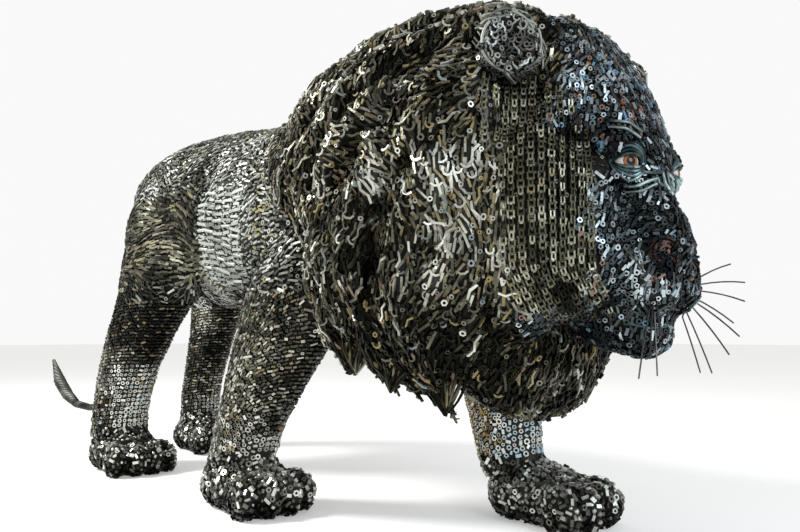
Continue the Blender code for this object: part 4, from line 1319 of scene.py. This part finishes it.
# How far out each wire lies in the tail, and how thick it is, beside the tail's own radius
WIRE_OUT, WIRE_THICK = 0.62, 0.40
tail_line = np.array(TAIL_LINE)
tail_paths = []
for wire in range(TAIL_WIRES):
    path = []
    for share in shares(140):
        so_far = share * (len(TAIL_LINE) - 1)
        k = min(int(so_far), len(TAIL_LINE) - 2)
        step = tail_line[k + 1] - tail_line[k]
        *middle, thick = tail_line[k] + step * (so_far - k)
        along = Vector(step[:3]).normalized()
        level_out = along.cross(Vector((0, 1, 0))).normalized()
        turn = math.tau * (wire / TAIL_WIRES + TAIL_TWISTS * share)
        out = level_out * math.cos(turn) + level_out.cross(along) * math.sin(turn)
        path.append((Vector(middle) + out * thick * WIRE_OUT, thick * WIRE_THICK))
    tail_paths.append(path)
tail_steel = steel_finish(
    "tail wire", (0.006, 0.006, 0.005), (0.022, 0.022, 0.019), (0.13, 0.13, 0.12), roughness=0.42,
)
rods_along("tail_wires", tail_paths, tail_steel, step=0.010)

# ----------------------------------------------------------------------
# The whiskers. Spring wire, bent by hand and welded into the pads beside the nose.
whisker_steel = steel_finish(
    "whisker wire", (0.02, 0.02, 0.02), (0.07, 0.07, 0.065), (0.22, 0.22, 0.21), brightness=0.5,
)
for name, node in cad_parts.items():
    if name.startswith("whisker"):
        node.data.materials.clear()
        node.data.materials.append(whisker_steel)

# ----------------------------------------------------------------------
# The studio: a pale floor that runs out to a white surround, a large soft key light over
# the lion's right flank, and a weak cool light from the front.
CAMERA_AT = Vector((1.927, -1.267, 0.42))
CAMERA_HEADING = Vector((-0.728, 0.686, 0))
CAMERA_PITCH = 5.0
FLOOR_HALF = 30


def pale_finish(name, colour):
    """Matt paint, a little cloudy, that glows enough to stay pale in the shade."""
    made, tree, surface = new_finish(name)
    mixed = blend(tree, speckle(tree, 3.0, 4.0), (*colour, 1), (*[c * 0.97 for c in colour], 1))
    fed(tree, surface, {"Base Color": mixed, "Roughness": 0.8, "Emission Color": mixed,
                        "Emission Strength": 0.36})
    return made


def soft_light(name, at, target, size, power, colour):
    data = bpy.data.lights.new(name, "AREA")
    data.shape = "DISK"
    data.size = size
    data.energy = power
    data.color = colour
    lamp = new_piece(name, data)
    lamp.location = at
    lamp.rotation_euler = (Vector(target) - Vector(at)).to_track_quat("-Z", "Y").to_euler()


floor_work = bmesh.new()
bmesh.ops.create_grid(floor_work, x_segments=4, y_segments=4, size=FLOOR_HALF)
floor = new_piece("floor", mesh_of("floor", floor_work))
floor.data.materials.append(pale_finish("pale floor", (0.88, 0.88, 0.87)))

world = bpy.data.worlds.new("surround")
world.use_nodes = True
sky = world.node_tree
lit_by = fed(sky, sky.nodes["Background"], {"Color": (1, 1, 1, 1), "Strength": 0.60})
seen = wired(sky, "ShaderNodeBackground", {"Color": (1, 1, 1, 1), "Strength": 0.95})
rays = wired(sky, "ShaderNodeLightPath").outputs["Is Camera Ray"]
both = wired(sky, "ShaderNodeMixShader", {0: rays, 1: lit_by, 2: seen})
fed(sky, sky.nodes["World Output"], {"Surface": both})
bpy.context.scene.world = world

soft_light("key", (-1.6, -2.6, 3.2), (0.2, 0, 0.5), 1.2, 230, (1.0, 0.99, 0.96))
soft_light("cool_fill", (3.6, -0.4, 1.6), (0.9, 0, 0.6), 1.5, 40, (0.80, 0.90, 1.0))

camera_data = bpy.data.cameras.new("camera")
camera_data.lens = 35
camera_data.sensor_width = 36
camera = new_piece("camera", camera_data)
camera.location = CAMERA_AT
aim = CAMERA_HEADING + Vector((0, 0, math.tan(math.radians(CAMERA_PITCH))))
camera.rotation_euler = aim.to_track_quat("-Z", "Y").to_euler()
bpy.context.scene.camera = camera
bpy.context.scene.view_settings.view_transform = "Standard"
